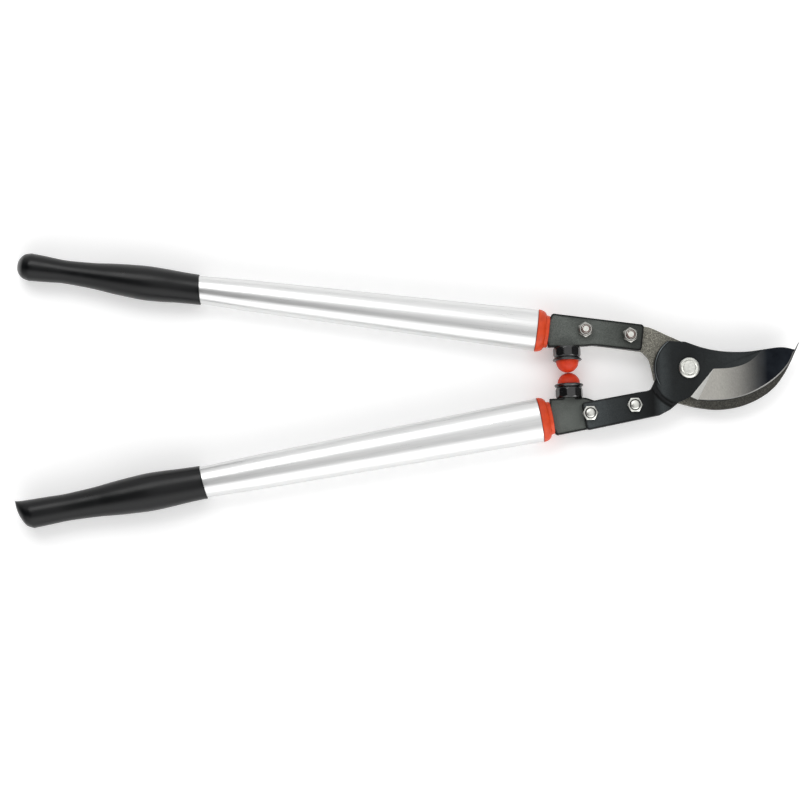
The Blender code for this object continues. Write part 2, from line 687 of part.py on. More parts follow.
def blade(parent):
    """Flat disc and spine, a lower tang, a ground face with its end, and a thin cutting edge."""
    bottom = ABOVE
    face = ABOVE + BLADE_THICKNESS
    tang_face = face - TANG_STEP
    land = ABOVE + EDGE_LAND
    ground = curve(jaw_points(GROUND_LINE), 3)
    spine = curve(jaw_points(BLADE_SPINE), 2)
    back = curve([ground[-1], *jaw_points([SPINE_CREST, BLADE_TIP])], 2)
    edge = curve(jaw_points([*CUTTING_EDGE, BLADE_TIP]), 3)
    disc = arc((0, 0), DISC_RADIUS, *DISC_ARC, 8)
    step_top = arc((0, 0), DISC_RADIUS + STEP_EDGE, *STEP_TOP_ARC, 5)
    step_foot = arc((0, 0), DISC_RADIUS + STEP_RUN, *STEP_FOOT_ARC, 5)
    throat = (-DISC_RADIUS - THROAT_FILLET, THROAT_ACROSS)
    tang = blade_tang()
    low_line = [*disc, step_top[0], throat, step_foot[0], *tang, step_foot[-1], step_top[-1], HEEL]

    bm = bmesh.new()

    def corner(point, height):
        return bm.verts.new((point[0], point[1], height))

    high_disc = [corner(p, face) for p in disc]
    high_step = [corner(p, face) for p in step_top]
    foot = [corner(p, tang_face) for p in step_foot]
    high_tang = [corner(p, tang_face) for p in tang]
    high_throat = corner(throat, (face + tang_face) / 2)
    high_heel = corner(HEEL, face)
    high_ground = [corner(p, face) for p in ground]
    high_spine = [corner(p, face) for p in spine]
    rise = [face + (land - face) * i / (len(back) - 1) for i in range(1, len(back))]
    high_back = [corner(p, z) for p, z in zip(back[1:], rise)]
    high_edge = [corner(p, land) for p in edge[:-1]]

    top = [*high_disc, *high_step, high_heel, *high_ground, *high_spine]
    bm.faces.new(top)
    bm.faces.new((high_step[0], high_throat, foot[0], foot[1], high_step[1]))
    for i in range(1, len(foot) - 1):
        bm.faces.new((high_step[i], foot[i], foot[i + 1], high_step[i + 1]))
    bm.faces.new([*foot, *high_tang[::-1]])
    bm.faces.new((high_heel, high_edge[0], high_ground[0]))
    bridge(bm, [*high_edge, high_back[-1]], [*high_ground, *high_back])

    low_line += [*edge, *back[-2:0:-1], ground[-1], *spine]
    low = [corner(p, bottom) for p in low_line]
    bm.faces.new(low)
    high = [*high_disc, high_step[0], high_throat, foot[0], *high_tang, foot[-1], high_step[-1]]
    high += [high_heel, *high_edge, *high_back[::-1], high_ground[-1], *high_spine]
    for i in range(len(high)):
        j = (i + 1) % len(high)
        bm.faces.new((high[i], high[j], low[j], low[i]))
    bmesh.ops.remove_doubles(bm, verts=bm.verts, dist=0.00001)
    mesh = make_mesh("cutting_blade", bm)
    piece = make_object("cutting_blade", mesh, "blackened blade steel", parent)
    drill_for_bolts(piece, "lower")
    hole = PIVOT_DIAMETER + 2 * CLEARANCE
    pivot_hole = cylinder_mesh("pivot_hole", hole, MIDDLE - HOLE_DEPTH, MIDDLE + HOLE_DEPTH)
    cut(piece, "pivot_hole", pivot_hole)
    return piece


def bridge(bm, near, far):
    """Fills the band between two rows of corners that end at the same one."""
    i = j = 0
    while i < len(near) - 1 or j < len(far) - 1:
        near_share = (i + 1) / (len(near) - 1) if i < len(near) - 1 else 2.0
        far_share = (j + 1) / (len(far) - 1) if j < len(far) - 1 else 2.0
        if near_share <= far_share:
            if near[i + 1] is not far[j]:
                bm.faces.new((near[i], near[i + 1], far[j]))
            i += 1
        else:
            if far[j + 1] is not near[i]:
                bm.faces.new((near[i], far[j + 1], far[j]))
            j += 1


# --- fasteners -----------------------------------------------------------------------------

def bolt_points(side):
    return [on_handle(side, station, BOLT_ACROSS[side]) for station in BOLT_STATIONS[side]]


def drill_for_bolts(piece, side):
    for i, (x, y) in enumerate(bolt_points(side), 1):
        name = f"{piece.name}_hole_{i}"
        hole = cylinder_mesh(name, BOLT_DIAMETER + 2 * CLEARANCE, -HOLE_DEPTH, HOLE_DEPTH)
        cut(piece, name, hole, Matrix.Translation((x, y, MIDDLE)))


def bolt_mesh(name, grip_length):
    """A hexagon bolt about Z, with the underside of its head at 0 and its shank going down."""
    end = grip_length + GAP + NUT_HEIGHT + THREAD_PROUD
    boss = HEX_ACROSS_FLATS - 2 * HEAD_SHOULDER
    rings = [
        round_ring(-end, BOLT_DIAMETER - 2 * THREAD_CHAMFER),
        round_ring(-end + THREAD_CHAMFER, BOLT_DIAMETER),
        round_ring(0.0, BOLT_DIAMETER),
        hex_ring(0.0, HEX_ACROSS_FLATS),
        hex_ring(BOLT_HEAD_HEIGHT - HEAD_CROWN, HEX_ACROSS_FLATS),
        round_ring(BOLT_HEAD_HEIGHT - HEAD_DOME, boss),
        round_ring(BOLT_HEAD_HEIGHT, boss - 2 * HEAD_DOME_RUN),
    ]
    return skin_rings(name, rings)


def nut_mesh(name, across_flats, bore, hex_height, height):
    """A locking nut about Z: a hexagon from 0 up, and a round collar with a recess for its ring."""
    hole = bore + 2 * CLEARANCE
    recess = bore + 2 * (CLEARANCE + RING_WALL) + GAP
    shoulder = across_flats - 2 * NUT_SHOULDER
    recess_floor = height - RING_HEIGHT - 2 * GAP
    rings = [
        round_ring(0.0, across_flats - NUT_CHAMFER),
        hex_ring(NUT_CHAMFER, across_flats),
        hex_ring(hex_height - NUT_SHOULDER, across_flats),
        round_ring(hex_height, shoulder),
        round_ring(height - NUT_COLLAR_ROUND, shoulder - NUT_SHOULDER),
        round_ring(height, recess + 2 * NUT_COLLAR_LIP),
        round_ring(height, recess),
        round_ring(recess_floor, recess),
        round_ring(recess_floor, hole),
        round_ring(0.0, hole),
    ]
    return skin_rings(name, rings, hollow=True)


def ring_mesh(name, bore, height):
    """The nylon ring in a nut's collar, in the frame of the nut."""
    inside = bore + 2 * CLEARANCE
    outside = inside + 2 * RING_WALL - GAP
    bottom, top = height - RING_HEIGHT - GAP, height - GAP
    rings = [(bottom, outside), (top, outside), (top, inside), (bottom, inside)]
    return skin_rings(name, [round_ring(z, d) for z, d in rings], hollow=True)


def bolt_set(side, i, point, parent):
    """A bolt, its nut and the nut's ring. On the upper handle the nuts are uppermost."""
    top_plate = STRAP_THICKNESS if side == "upper" else BLADE_THICKNESS - TANG_STEP
    bottom_plate = HOOK_THICKNESS if side == "upper" else STRAP_THICKNESS
    grip_length = top_plate + GAP + bottom_plate + 2 * GAP
    flip = Matrix.Rotation(math.pi, 4, "X")
    top = ABOVE + top_plate + GAP
    bottom = BELOW - bottom_plate - GAP
    if side == "upper":
        bolt_place = Matrix.Translation((*point, bottom)) @ flip
        nut_place = Matrix.Translation((*point, top))
    else:
        bolt_place = Matrix.Translation((*point, top))
        nut_place = Matrix.Translation((*point, bottom)) @ flip
    owner = "hook" if side == "upper" else "blade"
    name = f"{owner}_bolt_{i}"
    make_object(name, bolt_mesh(name, grip_length), "zinc plated steel", parent, bolt_place)
    name = f"{owner}_nut_{i}"
    nut = nut_mesh(name, HEX_ACROSS_FLATS, BOLT_DIAMETER, NUT_HEX_HEIGHT, NUT_HEIGHT)
    make_object(name, nut, "zinc plated steel", parent, nut_place)
    name = f"{owner}_nut_ring_{i}"
    ring = ring_mesh(name, BOLT_DIAMETER, NUT_HEIGHT)
    make_object(name, ring, "nylon locking ring", parent, nut_place)


def pivot(parent):
    """The pivot bolt is keyed in the hook, so that the blade turns on it and the nut stays put."""
    hook_bottom = BELOW - HOOK_THICKNESS
    seat = ABOVE + BLADE_THICKNESS + GAP
    rings = [
        round_ring(0.0, PIVOT_THREAD_DIAMETER - 2 * THREAD_CHAMFER),
        round_ring(THREAD_CHAMFER, PIVOT_THREAD_DIAMETER),
        round_ring(hook_bottom, PIVOT_THREAD_DIAMETER),
        round_ring(hook_bottom, PIVOT_DIAMETER, PIVOT_FLATS),
        round_ring(BELOW, PIVOT_DIAMETER, PIVOT_FLATS),
        round_ring(ABOVE, PIVOT_DIAMETER),
        round_ring(seat, PIVOT_DIAMETER),
        round_ring(seat, PIVOT_HEAD_DIAMETER),
    ]
    for angle in (0, 45, 90):
        edge = math.radians(angle)
        height = seat + PIVOT_HEAD_HEIGHT - PIVOT_HEAD_ROUND * (1 - math.sin(edge))
        rings.append(round_ring(height, PIVOT_HEAD_DIAMETER - 2 * PIVOT_HEAD_ROUND * (1 - math.cos(edge))))
    make_object("pivot_bolt", skin_rings("pivot_bolt", rings), "zinc plated steel", parent)
    bore = PIVOT_THREAD_DIAMETER + 2 * CLEARANCE
    top, bottom = hook_bottom - GAP, hook_bottom - GAP - WASHER_THICKNESS
    rings = [(bottom, WASHER_DIAMETER), (top, WASHER_DIAMETER), (top, bore), (bottom, bore)]
    washer = skin_rings("pivot_washer", [round_ring(z, d) for z, d in rings], hollow=True)
    make_object("pivot_washer", washer, "zinc plated steel", parent)
    place = Matrix.Translation((0, 0, bottom - GAP)) @ Matrix.Rotation(math.pi, 4, "X")
    sizes = (PIVOT_THREAD_DIAMETER, PIVOT_NUT_HEX_HEIGHT, PIVOT_NUT_HEIGHT)
    nut = nut_mesh("pivot_nut", PIVOT_ACROSS_FLATS, *sizes)
    make_object("pivot_nut", nut, "zinc plated steel", parent, place)
    ring = ring_mesh("pivot_nut_ring", PIVOT_THREAD_DIAMETER, PIVOT_NUT_HEIGHT)
    make_object("pivot_nut_ring", ring, "nylon locking ring", parent, place)


def handle(side, parent):
    tube(side, parent)
    grip(side, parent)
    collar(side, parent)
    insert(side, parent)
    strap(side, parent)
    bumper_cup(side, parent)
    bumper_dome(side, parent)
    for i, point in enumerate(bolt_points(side), 1):
        bolt_set(side, i, point, parent)


def main():
    clear_scene()
    hook_side = make_empty("hook_side")
    blade_side = make_empty("blade_side", hook_side)  # turns about the pivot, on Z
    handle("upper", hook_side)
    hook(hook_side)
    pivot(hook_side)
    handle("lower", blade_side)
    blade(blade_side)


main()
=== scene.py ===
"""Looks of the bypass loppers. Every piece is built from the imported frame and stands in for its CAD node.

X runs along the tool to the tip, +Y to the hook's handle, +Z up to the camera. Everything is in metres.
"""

import json
import math

import bmesh
import bpy
import numpy as np
from mathutils import Matrix, Vector, noise

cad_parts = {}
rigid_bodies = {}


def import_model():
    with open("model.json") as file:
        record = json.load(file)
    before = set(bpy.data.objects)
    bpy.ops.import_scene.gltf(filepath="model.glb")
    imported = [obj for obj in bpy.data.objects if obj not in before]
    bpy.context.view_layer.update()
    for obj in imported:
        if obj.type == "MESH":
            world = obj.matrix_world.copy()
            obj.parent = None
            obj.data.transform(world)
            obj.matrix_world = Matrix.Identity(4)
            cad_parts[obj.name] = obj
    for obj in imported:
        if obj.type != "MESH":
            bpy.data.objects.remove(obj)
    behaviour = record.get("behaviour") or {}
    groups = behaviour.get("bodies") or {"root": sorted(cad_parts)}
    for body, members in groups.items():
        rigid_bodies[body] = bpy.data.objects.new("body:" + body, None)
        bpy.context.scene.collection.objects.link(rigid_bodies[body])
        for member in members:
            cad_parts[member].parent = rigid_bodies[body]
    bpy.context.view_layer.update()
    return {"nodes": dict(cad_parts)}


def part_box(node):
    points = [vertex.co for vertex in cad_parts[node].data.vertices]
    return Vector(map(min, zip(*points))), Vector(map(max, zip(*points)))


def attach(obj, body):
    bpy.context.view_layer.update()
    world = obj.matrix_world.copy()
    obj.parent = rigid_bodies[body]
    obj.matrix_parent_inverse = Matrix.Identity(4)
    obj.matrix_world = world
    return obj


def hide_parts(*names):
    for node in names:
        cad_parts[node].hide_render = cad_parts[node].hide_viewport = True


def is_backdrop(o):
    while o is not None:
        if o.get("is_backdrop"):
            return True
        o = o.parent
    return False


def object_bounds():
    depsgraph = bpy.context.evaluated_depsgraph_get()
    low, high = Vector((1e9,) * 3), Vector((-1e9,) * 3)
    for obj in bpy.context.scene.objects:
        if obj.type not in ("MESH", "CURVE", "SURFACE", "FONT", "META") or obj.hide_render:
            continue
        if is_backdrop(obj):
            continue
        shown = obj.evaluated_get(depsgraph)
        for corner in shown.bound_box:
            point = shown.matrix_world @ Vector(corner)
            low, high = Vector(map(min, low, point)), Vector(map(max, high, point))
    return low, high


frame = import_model()
nodes = frame["nodes"]

BODY = {"upper": "hook_side", "lower": "blade_side"}
OWNER = {"upper": "hook", "lower": "blade"}
INWARD = {"upper": -1.0, "lower": 1.0}  # direction along Y from a handle to the centre line
ROUND = 96  # points round a turned or oval piece
ANGLES = np.arange(ROUND) * math.tau / ROUND
SHADER = "Principled BSDF"
SHARP = 30  # degrees between faces that stay sharp, where nothing else is given
BEVEL_STEPS = 4

# Reading the frame's meshes
END_BAND = 0.001  # how near a tube's end its last ring lies
WELD = 0.00002  # corners nearer than this are one
LEVEL = 0.0001  # how far below a plate's top an edge still belongs to it
STRAIGHT = math.radians(0.5)  # a smaller turn than this counts as none
TURN_STEP = math.radians(4)  # the turn between two points of a smoothed outline
ROUND_SHARE = 0.45  # a rounded corner takes at most this share of an edge

# Handles
TUBE_WALL = 0.0015
TUBE_LIP = 0.0004  # rounding of the tube's mouth
TUBE_STATIONS = 60
GRIP_STATIONS = 11
GRIP_LEAD = 0.0045  # first measured station behind a grip's front
GRIP_FLANK = 0.010
GRIP_DOME = 0.0140
GRIP_RIM = 0.0005  # rolled rim at a grip's front
GRIP_SKIN = 0.0008
GRIP_SOCKET = 0.006
GRIP_SLANT_FADE = 0.030
GRIP_TAIL = (14, 28, 42, 56, 68, 78, 85)  # degrees up the butt's dome where its girth is measured
SLOT_OVER = 0.01  # how far a slot's cutter runs past what it cuts
COLLAR_ROUND = 0.0004
COLLAR_INSET = 0.00004
COLLAR_NECK = 0.0033
COLLAR_SHARP = 35
COLLAR_LIP = 0.0016  # darker lip at the collar's mouth

# Plates
CORNER_TURN = math.radians(40)  # an outline that turns more than this keeps its corner
PLATE_BEVEL = 0.0012
HOOK_BEVEL = 0.0010
HOOK_PAINTED_SHADOW = (-0.020, 0.012)  # painted shadow darkens the hook under the blade
HOOK_PAINTED_SHADOW_LEVELS = ((0.0, 1.1), (1.0, 0.24))
HOLE_SLACK = 0.0003  # between a hole or slot and what goes through it
WANDER = 0.0016  # share by which the forging's outline wavers
WANDER_SCALE = 220  # of the noise, in cells per metre
NEEDLE_START = 0.097  # past this the hook is a needle, with straight sides
NEEDLE_FILL = (-0.0007, 0.0005)  # widens the needle, so that its edges can be rounded
DRILL_OVER = 0.002  # how far a drill runs past a plate's faces
EDGE_RADIUS = 0.0034  # reach of the painted dark outline
EDGE_PAINTED_SHADES = ((0.93, 0.05), (0.98, 0.40), (0.999, 1.0))  # painted shade darkens the coating along edges
RIM_TILT = 0.985  # faces that lean more than this (as the cosine) belong to a plate's rim

# Blade. The points of its jaw are shares of its reach, along the tool and across it, as in the part.
BLADE_BEVEL = 0.0009
BLADE_SHARP = 4  # degrees between faces that stay sharp
TANG_STEP = 0.0012
# Painted light and shade on the coating, as (share of the way, grey). The first two carry their axis and
# their ends.
# Painted shade: the straps darken along X towards their ends by the pivot.
STRAP_PAINTED_SHADE = ("X", -0.150, -0.045, ((0.0, 1.0), (0.6, 0.85), (1.0, 0.30)))
BLADE_PAINTED_SHADE = ("X", -0.120, 0.060, (
    (0.04, 2.4), (0.26, 0.85), (0.47, 0.12), (0.52, 1.15), (0.58, 0.45), (0.68, 0.35), (0.9, 0.75)
))
# Painted shade down the joggle's sloped bend between the disc and the tang.
BEND_PAINTED_SHADE = ((0.02, 1.0), (0.12, 0.12), (0.8, 0.15), (0.98, 1.0))
TANG_END = 0.1078
TANG_END_INNER = 0.0086
TANG_END_OUTER = 0.0184
TANG_NECK = 0.0520
TANG_NECK_LEAD = 0.0160
TANG_NECK_INNER = 0.0088
TANG_NECK_OUTER = 0.0168
TANG_CORNER = 0.0030
EDGE_HEIGHT = 0.00015
MICRO_BEVEL = 0.0021  # width of the honed strip at the tip
MICRO_HEEL = 0.0007  # and at the heel
# Painted shade darkens the honed strip along X, between these two places and by these greys.
HONED_PAINTED_SHADE = (0.010, 0.100)
HONED_PAINTED_SHADE_LEVELS = ((0.0, 0.25), (0.5, 0.20), (0.8, 0.34), (1.0, 0.42))
EDGE_LINE = 0.0005  # painted shadow line along the edge itself
MICRO_RISE = 0.00095
HONED_SHARE = 0.4  # the honed strip takes at most this share of the ground face
HONED_GROWTH = 0.6  # power by which it widens towards the tip
HOLLOW = 0.00022  # depth of the hollow grind
HOLLOW_WIDTH = 0.020
BLADE_TIP = (1.0, 0.1505)
BLADE_SPINE = ((0.55, 0.139), (0.40, 0.141), (0.26, 0.158), (0.12, 0.194), (-0.02, 0.248))
SPINE_CREST = (0.87, 0.1733)
CUTTING_EDGE = (
    (0.080, -0.288), (0.20, -0.298), (0.38, -0.2915), (0.57, -0.244), (0.77, -0.138), (0.92, 0.0)
)
GROUND_LINE = ((0.225, -0.0133), (0.40, -0.0057), (0.55, 0.040), (0.695, 0.1543))
HEEL = (0.0004, -0.0278)
DISC_RADIUS = 0.0335
STEP_EDGE = 0.0006
STEP_RUN = 0.0100
THROAT = (-0.0349, -0.0146)
DISC_ARC = (125, 190)
DISC_GLINT_WIDTH = 0.0030  # width of the painted highlight, between two painted dark lines, inside the disc's left edge
DISC_GLINT_LEVELS = (
    (0.0, 1.0), (0.25, 0.25), (0.42, 0.30), (0.52, 4.6), (0.66, 4.6), (0.76, 0.1), (1.0, 0.1)
)
DISC_GLINT_END = -0.012  # the painted highlight shows only left of and above this
DISC_GLINT_FADE = 0.004
TANG_OUTLINED = (-0.056, -0.046)  # the painted dark outline fades out between these along X
STEP_TOP_ARC = (196, 252)
STEP_FOOT_ARC = (207, 244)
GRIND_COLUMNS = 150
GRIND_ROWS = 10
DISC_COLUMNS = 40
STEP_COLUMNS = 32
WALL_TILT = 0.3  # at most the height of a wall's normal
FACE_TILT = 0.7  # at least that of a face's
GROUND, HONED, PAINTED_DARK_SHADE, PLUNGE = 1, 2, 3, 4  # places in the blade's list of materials
GROUND_SHARE = 0.62  # of the far line that runs along the flat, before the back
THROAT_STEPS = 5
DARK_REFLECTION_FROM = 0.14  # shares of the reach between which a painted dark reflection darkens the ground face
DARK_REFLECTION_TO = 0.78
DARK_REFLECTION_LEVELS = ((0.0, 0.0), (0.21, 0.05), (0.50, 0.45), (0.64, 0.70), (0.78, 0.90), (0.92, 1.0))

# Bumpers
CUP_FLANGE = 0.0028
CUP_GROOVE = 0.0012
CUP_SIDES = 10
CUP_ACROSS_FLATS = 0.0252
CUP_TURN = math.radians(3)
# The barrel as (share of the height from the base, radius as a share of the flange's)
CUP_BARREL = ((0.0, 0.87), (0.25, 0.945), (0.6, 0.965), (0.85, 0.925), (1.0, 0.88))
CUP_FOOT_ROUND = 0.0008
CUP_GROOVE_DEPTH = 0.0006
# The flange as (rise, inset from its radius) at its foot and at its lip, and the mouth's flare
CUP_FLANGE_FOOT = ((0.0, 0.0011), (0.0014, 0.0))
CUP_FLANGE_LIP = ((-0.0006, 0.0002), (0.0, 0.0010))
CUP_MOUTH = ((0.0, 0.0006), (-0.0006, 0.0))
CUP_EDGE_ROUND = 0.0005
CUP_SHARP = 28
CUP_BORE = 0.0063
STUB_CHAMFER = 0.0005
DOME_SEAM = ((0.0004, 0.0), (0.0001, 0.00012))  # (drop, inset) of the faint ring below the dome
DOME_TURN = 4  # degrees between the dome's rings
LUG_WIDTH = 0.0110
LUG_HEIGHT = 0.0056

# Fasteners
TURNED_SHARP = 24  # degrees between faces of turned metal that stay sharp
SOFT_ROUND = 0.0003
BOLT_HOLE = 0.0086
BOLT_RADIUS = 0.0040
BOLT_SLACK = 0.0002  # between a thread and its nut
BOLT_PITCH = 0.00125
BOLT_THREAD = 0.0040  # how far the modelled thread reaches from a bolt's end
THREAD_DEPTH = 0.0005
THREAD_STEPS = 6  # rings for each turn of a thread
THREAD_FADE = 3  # rings over which it fades in and out
THREAD_START = 0.0006
THREAD_END_RADIUS = 0.0029  # the flat end of a bolt, inside its chamfer
END_CHAMFER = 0.0005
END_STEP = 0.0003  # how far the chamfer stays inside the thread
HEAD_HEIGHT = 0.0053
HEAD_DOME_RISE = 0.0011
HEAD_DOME_RADIUS = 0.0045
HEAD_GROOVE = 0.0009  # width of the groove round the dome, darkened with painted shade
GROOVE_DEPTH = 0.00045
GROOVE_LIP = 0.0001
DOME_SINK = 0.0003
DOME_STEPS = 12
HEX_CONE = 0.97  # where the corners' cut starts, as a share of the distance to the flats
HEX_SLOPE = math.radians(30)
NUT_HEX = 0.0055
NUT_SHOULDER = 0.0006
NUT_TURN = math.radians(30)
NUT_ROUND = 0.0005
# A nut's collar: (rise, inset from its radius) at the hexagon and at the top, and the mouth's flare
NUT_FOOT = ((-0.0003, -0.0004), (0.0003, 0.0002))
NUT_ROLL = ((-0.0012, 0.0004), (0.0, 0.0014))
NUT_MOUTH = ((0.0, 0.0004), (-0.0005, 0.0))
BORE_CHAMFER = (0.0006, 0.0005)  # along a nut's bore, and outwards
RING_WALL = 0.0013
RING_DEPTH = 0.0022
RING_EASE = 0.0001
RING_CROWN = ((0.9, 0.0), (1.1, 0.5), (0.95, 1.0))  # shares of a ring's height, and of its wall
PIVOT_HOLE = 0.0126
PIVOT_RADIUS = 0.0060
PIVOT_THREAD = 0.0050
PIVOT_END_RADIUS = 0.0041
PIVOT_THREAD_REACH = 0.0050
PIVOT_PITCH = 0.0015
PIVOT_HEAD_HEIGHT = 0.0048
PIVOT_NUT_HEX = 0.0060
PIVOT_FOOT = ((0.0, 0.0004), (0.0006, 0.0))  # (rise, inset) under the head's edge
PIVOT_CHAMFER = 0.0016
PIVOT_RIM_DROP = 0.0002
PIVOT_ROUND = 0.0006
PIVOT_MIDDLE = ((0.0004, 0.0002), (0.0001, 0.0006), (0.0, 0.0012))  # (drop, inset) inside the notches
PIVOT_POLE = 0.0010  # radius of the innermost ring
KEY_EASE = 0.0001
NOTCH_OUTER = 0.0078
NOTCH_INNER = 0.0062
NOTCH_HEIGHT = 0.0003
NOTCH_FLOOR = 0.0004
NOTCH_FLARE = 0.0003
NOTCH_EASE = 0.0001
NOTCH_EVERY = 3  # one point in so many stays low
WASHER_EASE = 0.0008

# Camera and light
CAMERA_PLACE = (-0.3034, -0.2456, 1.8268)
CAMERA_TARGET = (-0.2786, -0.0215, 0.0175)
CAMERA_UP = (0.0320, 0.9995, 0.0)
CAMERA_LENS = 85.3
FLOOR_SIZE = 14.0
FLOOR_GAP = 0.0004
# Brightness of the room by the direction's angle from overhead, in degrees: the low lights and the
# ceiling by their lean towards +Y, and how far each of the two reaches by the lean towards +X
LOW_LIGHTS = (
    (-90, 1.05), (-76, 1.30), (-52, 1.45), (-38, 0.85), (-28, 0.05), (0, 0.0), (30, 0.05), (52, 0.70),
    (90, 0.72),
)
LOW_REACH = ((-90, 0.12), (-54, 0.40), (-20, 1.0), (26, 1.0), (44, 0.60), (60, 0.16), (90, 0.12))
CEILING = (
    (-90, 0.0), (-44, 0.10), (-34, 0.42), (-26, 0.46), (-14, 0.66), (-2, 0.77), (30, 0.78), (52, 0.15),
    (90, 0.0),
)
CEILING_REACH = (
    (-90, 0.05), (-20, 0.05), (-9, 0.16), (-4, 1.0), (26, 1.0), (44, 0.60), (60, 0.16), (90, 0.12)
)
ROOM_STRENGTH = 1.28
FLOOR_GLOW = 0.22
SOFTBOXES = (
    ("key", (-0.9, 1.1, 1.9), (1.4, 1.0), 14.0),
    ("fill", (0.9, -1.4, 0.9), (1.2, 0.7), 6.0),
)


# --- frame measures ------------------------------------------------------------------------

def mesh_points(node):
    """The node's corners, as an array."""
    mesh = nodes[node].data
    points = np.empty(len(mesh.vertices) * 3)
    mesh.vertices.foreach_get("co", points)
    return points.reshape(-1, 3)


def handle_frame(side):
    """X runs along the tube from its mouth to the butt, Z is up."""
    points = mesh_points(f"{side}_tube")
    middle = points.mean(0)
    along = np.linalg.svd(points - middle, full_matrices=False)[2][0]
    along *= -np.sign(along[0])
    share = (points - middle) @ along
    ends = []
    for end in (share.min(), share.max()):
        ring = points[abs(share - end) < END_BAND]
        ends.append(Vector((ring.min(0) + ring.max(0)) / 2))
    x_axis = (ends[1] - ends[0]).normalized()
    z_axis = Vector((0, 0, 1))
    y_axis = z_axis.cross(x_axis)
    turn = Matrix((x_axis, y_axis, z_axis)).transposed().to_4x4()
    return Matrix.Translation(ends[0]) @ turn


def in_frame(node, place):
    """The node's corners in a frame of their own."""
    inverse = np.array(place.inverted())
    return mesh_points(node) @ inverse[:3, :3].T + inverse[:3, 3]


def girths(node, place, stations):
    """(station, centre across, centre up, half width, half depth) of a node at stations along X."""
    points = in_frame(node, place)
    mesh = nodes[node].data
    edges = np.empty(len(mesh.edges) * 2, int)
    mesh.edges.foreach_get("vertices", edges)
    first, last = points[edges.reshape(-1, 2).T]
    found = []
    for station in stations:
        crossing = (first[:, 0] - station) * (last[:, 0] - station) < 0
        a, b = first[crossing], last[crossing]
        share = ((station - a[:, 0]) / (b[:, 0] - a[:, 0]))[:, None]
        cut = a + (b - a) * share
        low, high = cut.min(0), cut.max(0)
        middle, half = (low + high) / 2, (high - low) / 2
        found.append((station, middle[1], middle[2], half[1], half[2]))
    return found


def middle_of(node):
    low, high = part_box(node)
    return (low + high) / 2


# --- curves --------------------------------------------------------------------------------

def arc(centre, radius, start, end, steps):
    """Points on an arc, with the angles in degrees from +X."""
    angles = [math.radians(start + (end - start) * i / steps) for i in range(steps + 1)]
    return [Vector((centre[0] + radius * math.cos(a), centre[1] + radius * math.sin(a))) for a in angles]


def curve(points, steps):
    """A smooth curve through the points, from the first to the last, in any number of dimensions."""
    points = [np.array(p, float) for p in points]
    ends = [2 * points[0] - points[1], *points, 2 * points[-1] - points[-2]]
    drawn = []
    for a, b, c, d in zip(ends, ends[1:], ends[2:], ends[3:]):
        for i in range(steps):
            t = i / steps
            p = b + (c - a) * t / 2 + (2 * a - 5 * b + 4 * c - d) * t**2 / 2
            drawn.append(p + (3 * b - 3 * c + d - a) * t**3 / 2)
    drawn.append(points[-1])
    return drawn


def evenly(points, count):
    """The same line with its points evenly spaced."""
    points = np.array(points, float)
    lengths = np.linalg.norm(np.diff(points, axis=0), axis=1)
    travelled = np.concatenate([[0.0], np.cumsum(lengths)])
    wanted = np.linspace(0, travelled[-1], count)
    return np.stack([np.interp(wanted, travelled, points[:, k]) for k in range(points.shape[1])], 1)


def smooth_loop(points, straight_past=math.inf):
    """The closed outline with its gentle turns rounded off: not its sharp ones, nor those past an X."""
    points = [Vector(p) for p in points]
    count = len(points)
    sharp = []
    for i in range(count):
        before = points[i] - points[i - 1]
        after = points[(i + 1) % count] - points[i]
        sharp.append(points[i].x > straight_past or before.angle(after, 0.0) > CORNER_TURN)
    drawn = []
    for i in range(count):
        j = (i + 1) % count
        edge = points[j] - points[i]
        leave = edge if sharp[i] else points[j] - points[i - 1]
        arrive = edge if sharp[j] else points[(j + 1) % count] - points[i]
        leave = leave.normalized() * edge.length
        arrive = arrive.normalized() * edge.length
        bend = leave.angle(arrive, 0.0) + leave.angle(edge, 0.0) + arrive.angle(edge, 0.0)
        steps = max(1, round(bend / TURN_STEP))
        for k in range(steps):
            t = k / steps
            point = points[i] * (2 * t**3 - 3 * t**2 + 1) + leave * (t**3 - 2 * t**2 + t)
            drawn.append(point + points[j] * (3 * t**2 - 2 * t**3) + arrive * (t**3 - t**2))
    return drawn


def outline_of(node):
    """The longest closed line between the top face and the walls of a flat plate."""
    bm = bmesh.new()
    bm.from_mesh(nodes[node].data)
    bmesh.ops.remove_doubles(bm, verts=bm.verts, dist=WELD)
    bm.normal_update()
    top = max(v.co.z for v in bm.verts)
    rim = {}
    for edge in bm.edges:
        facing = sorted(abs(face.normal.z) for face in edge.link_faces)
        is_high = all(top - v.co.z < LEVEL for v in edge.verts)
        if is_high and len(facing) == 2 and facing[0] < 0.5 < facing[1]:
            for vert in edge.verts:
                rim.setdefault(vert, []).append(edge)
    loops = []
    seen = set()
    for start in rim:
        if start in seen:
            continue
        loop, vert, edge = [], start, None
        while vert not in seen:
            seen.add(vert)
            loop.append(vert.co.xy.copy())
            edge = next(e for e in rim[vert] if e is not edge)
            vert = edge.other_vert(vert)
        loops.append(loop)
    bm.free()
    loop = max(loops, key=lambda line: sum((a - b).length for a, b in zip(line, line[1:])))
    return without_straights(loop)


def without_straights(loop):
    """The loop without the points that lie in the middle of a straight edge."""
    kept = []
    for i, point in enumerate(loop):
        before = point - loop[i - 1]
        after = loop[(i + 1) % len(loop)] - point
        if before.angle(after, 0.0) > STRAIGHT:
            kept.append(point)
    return kept


# --- meshes --------------------------------------------------------------------------------

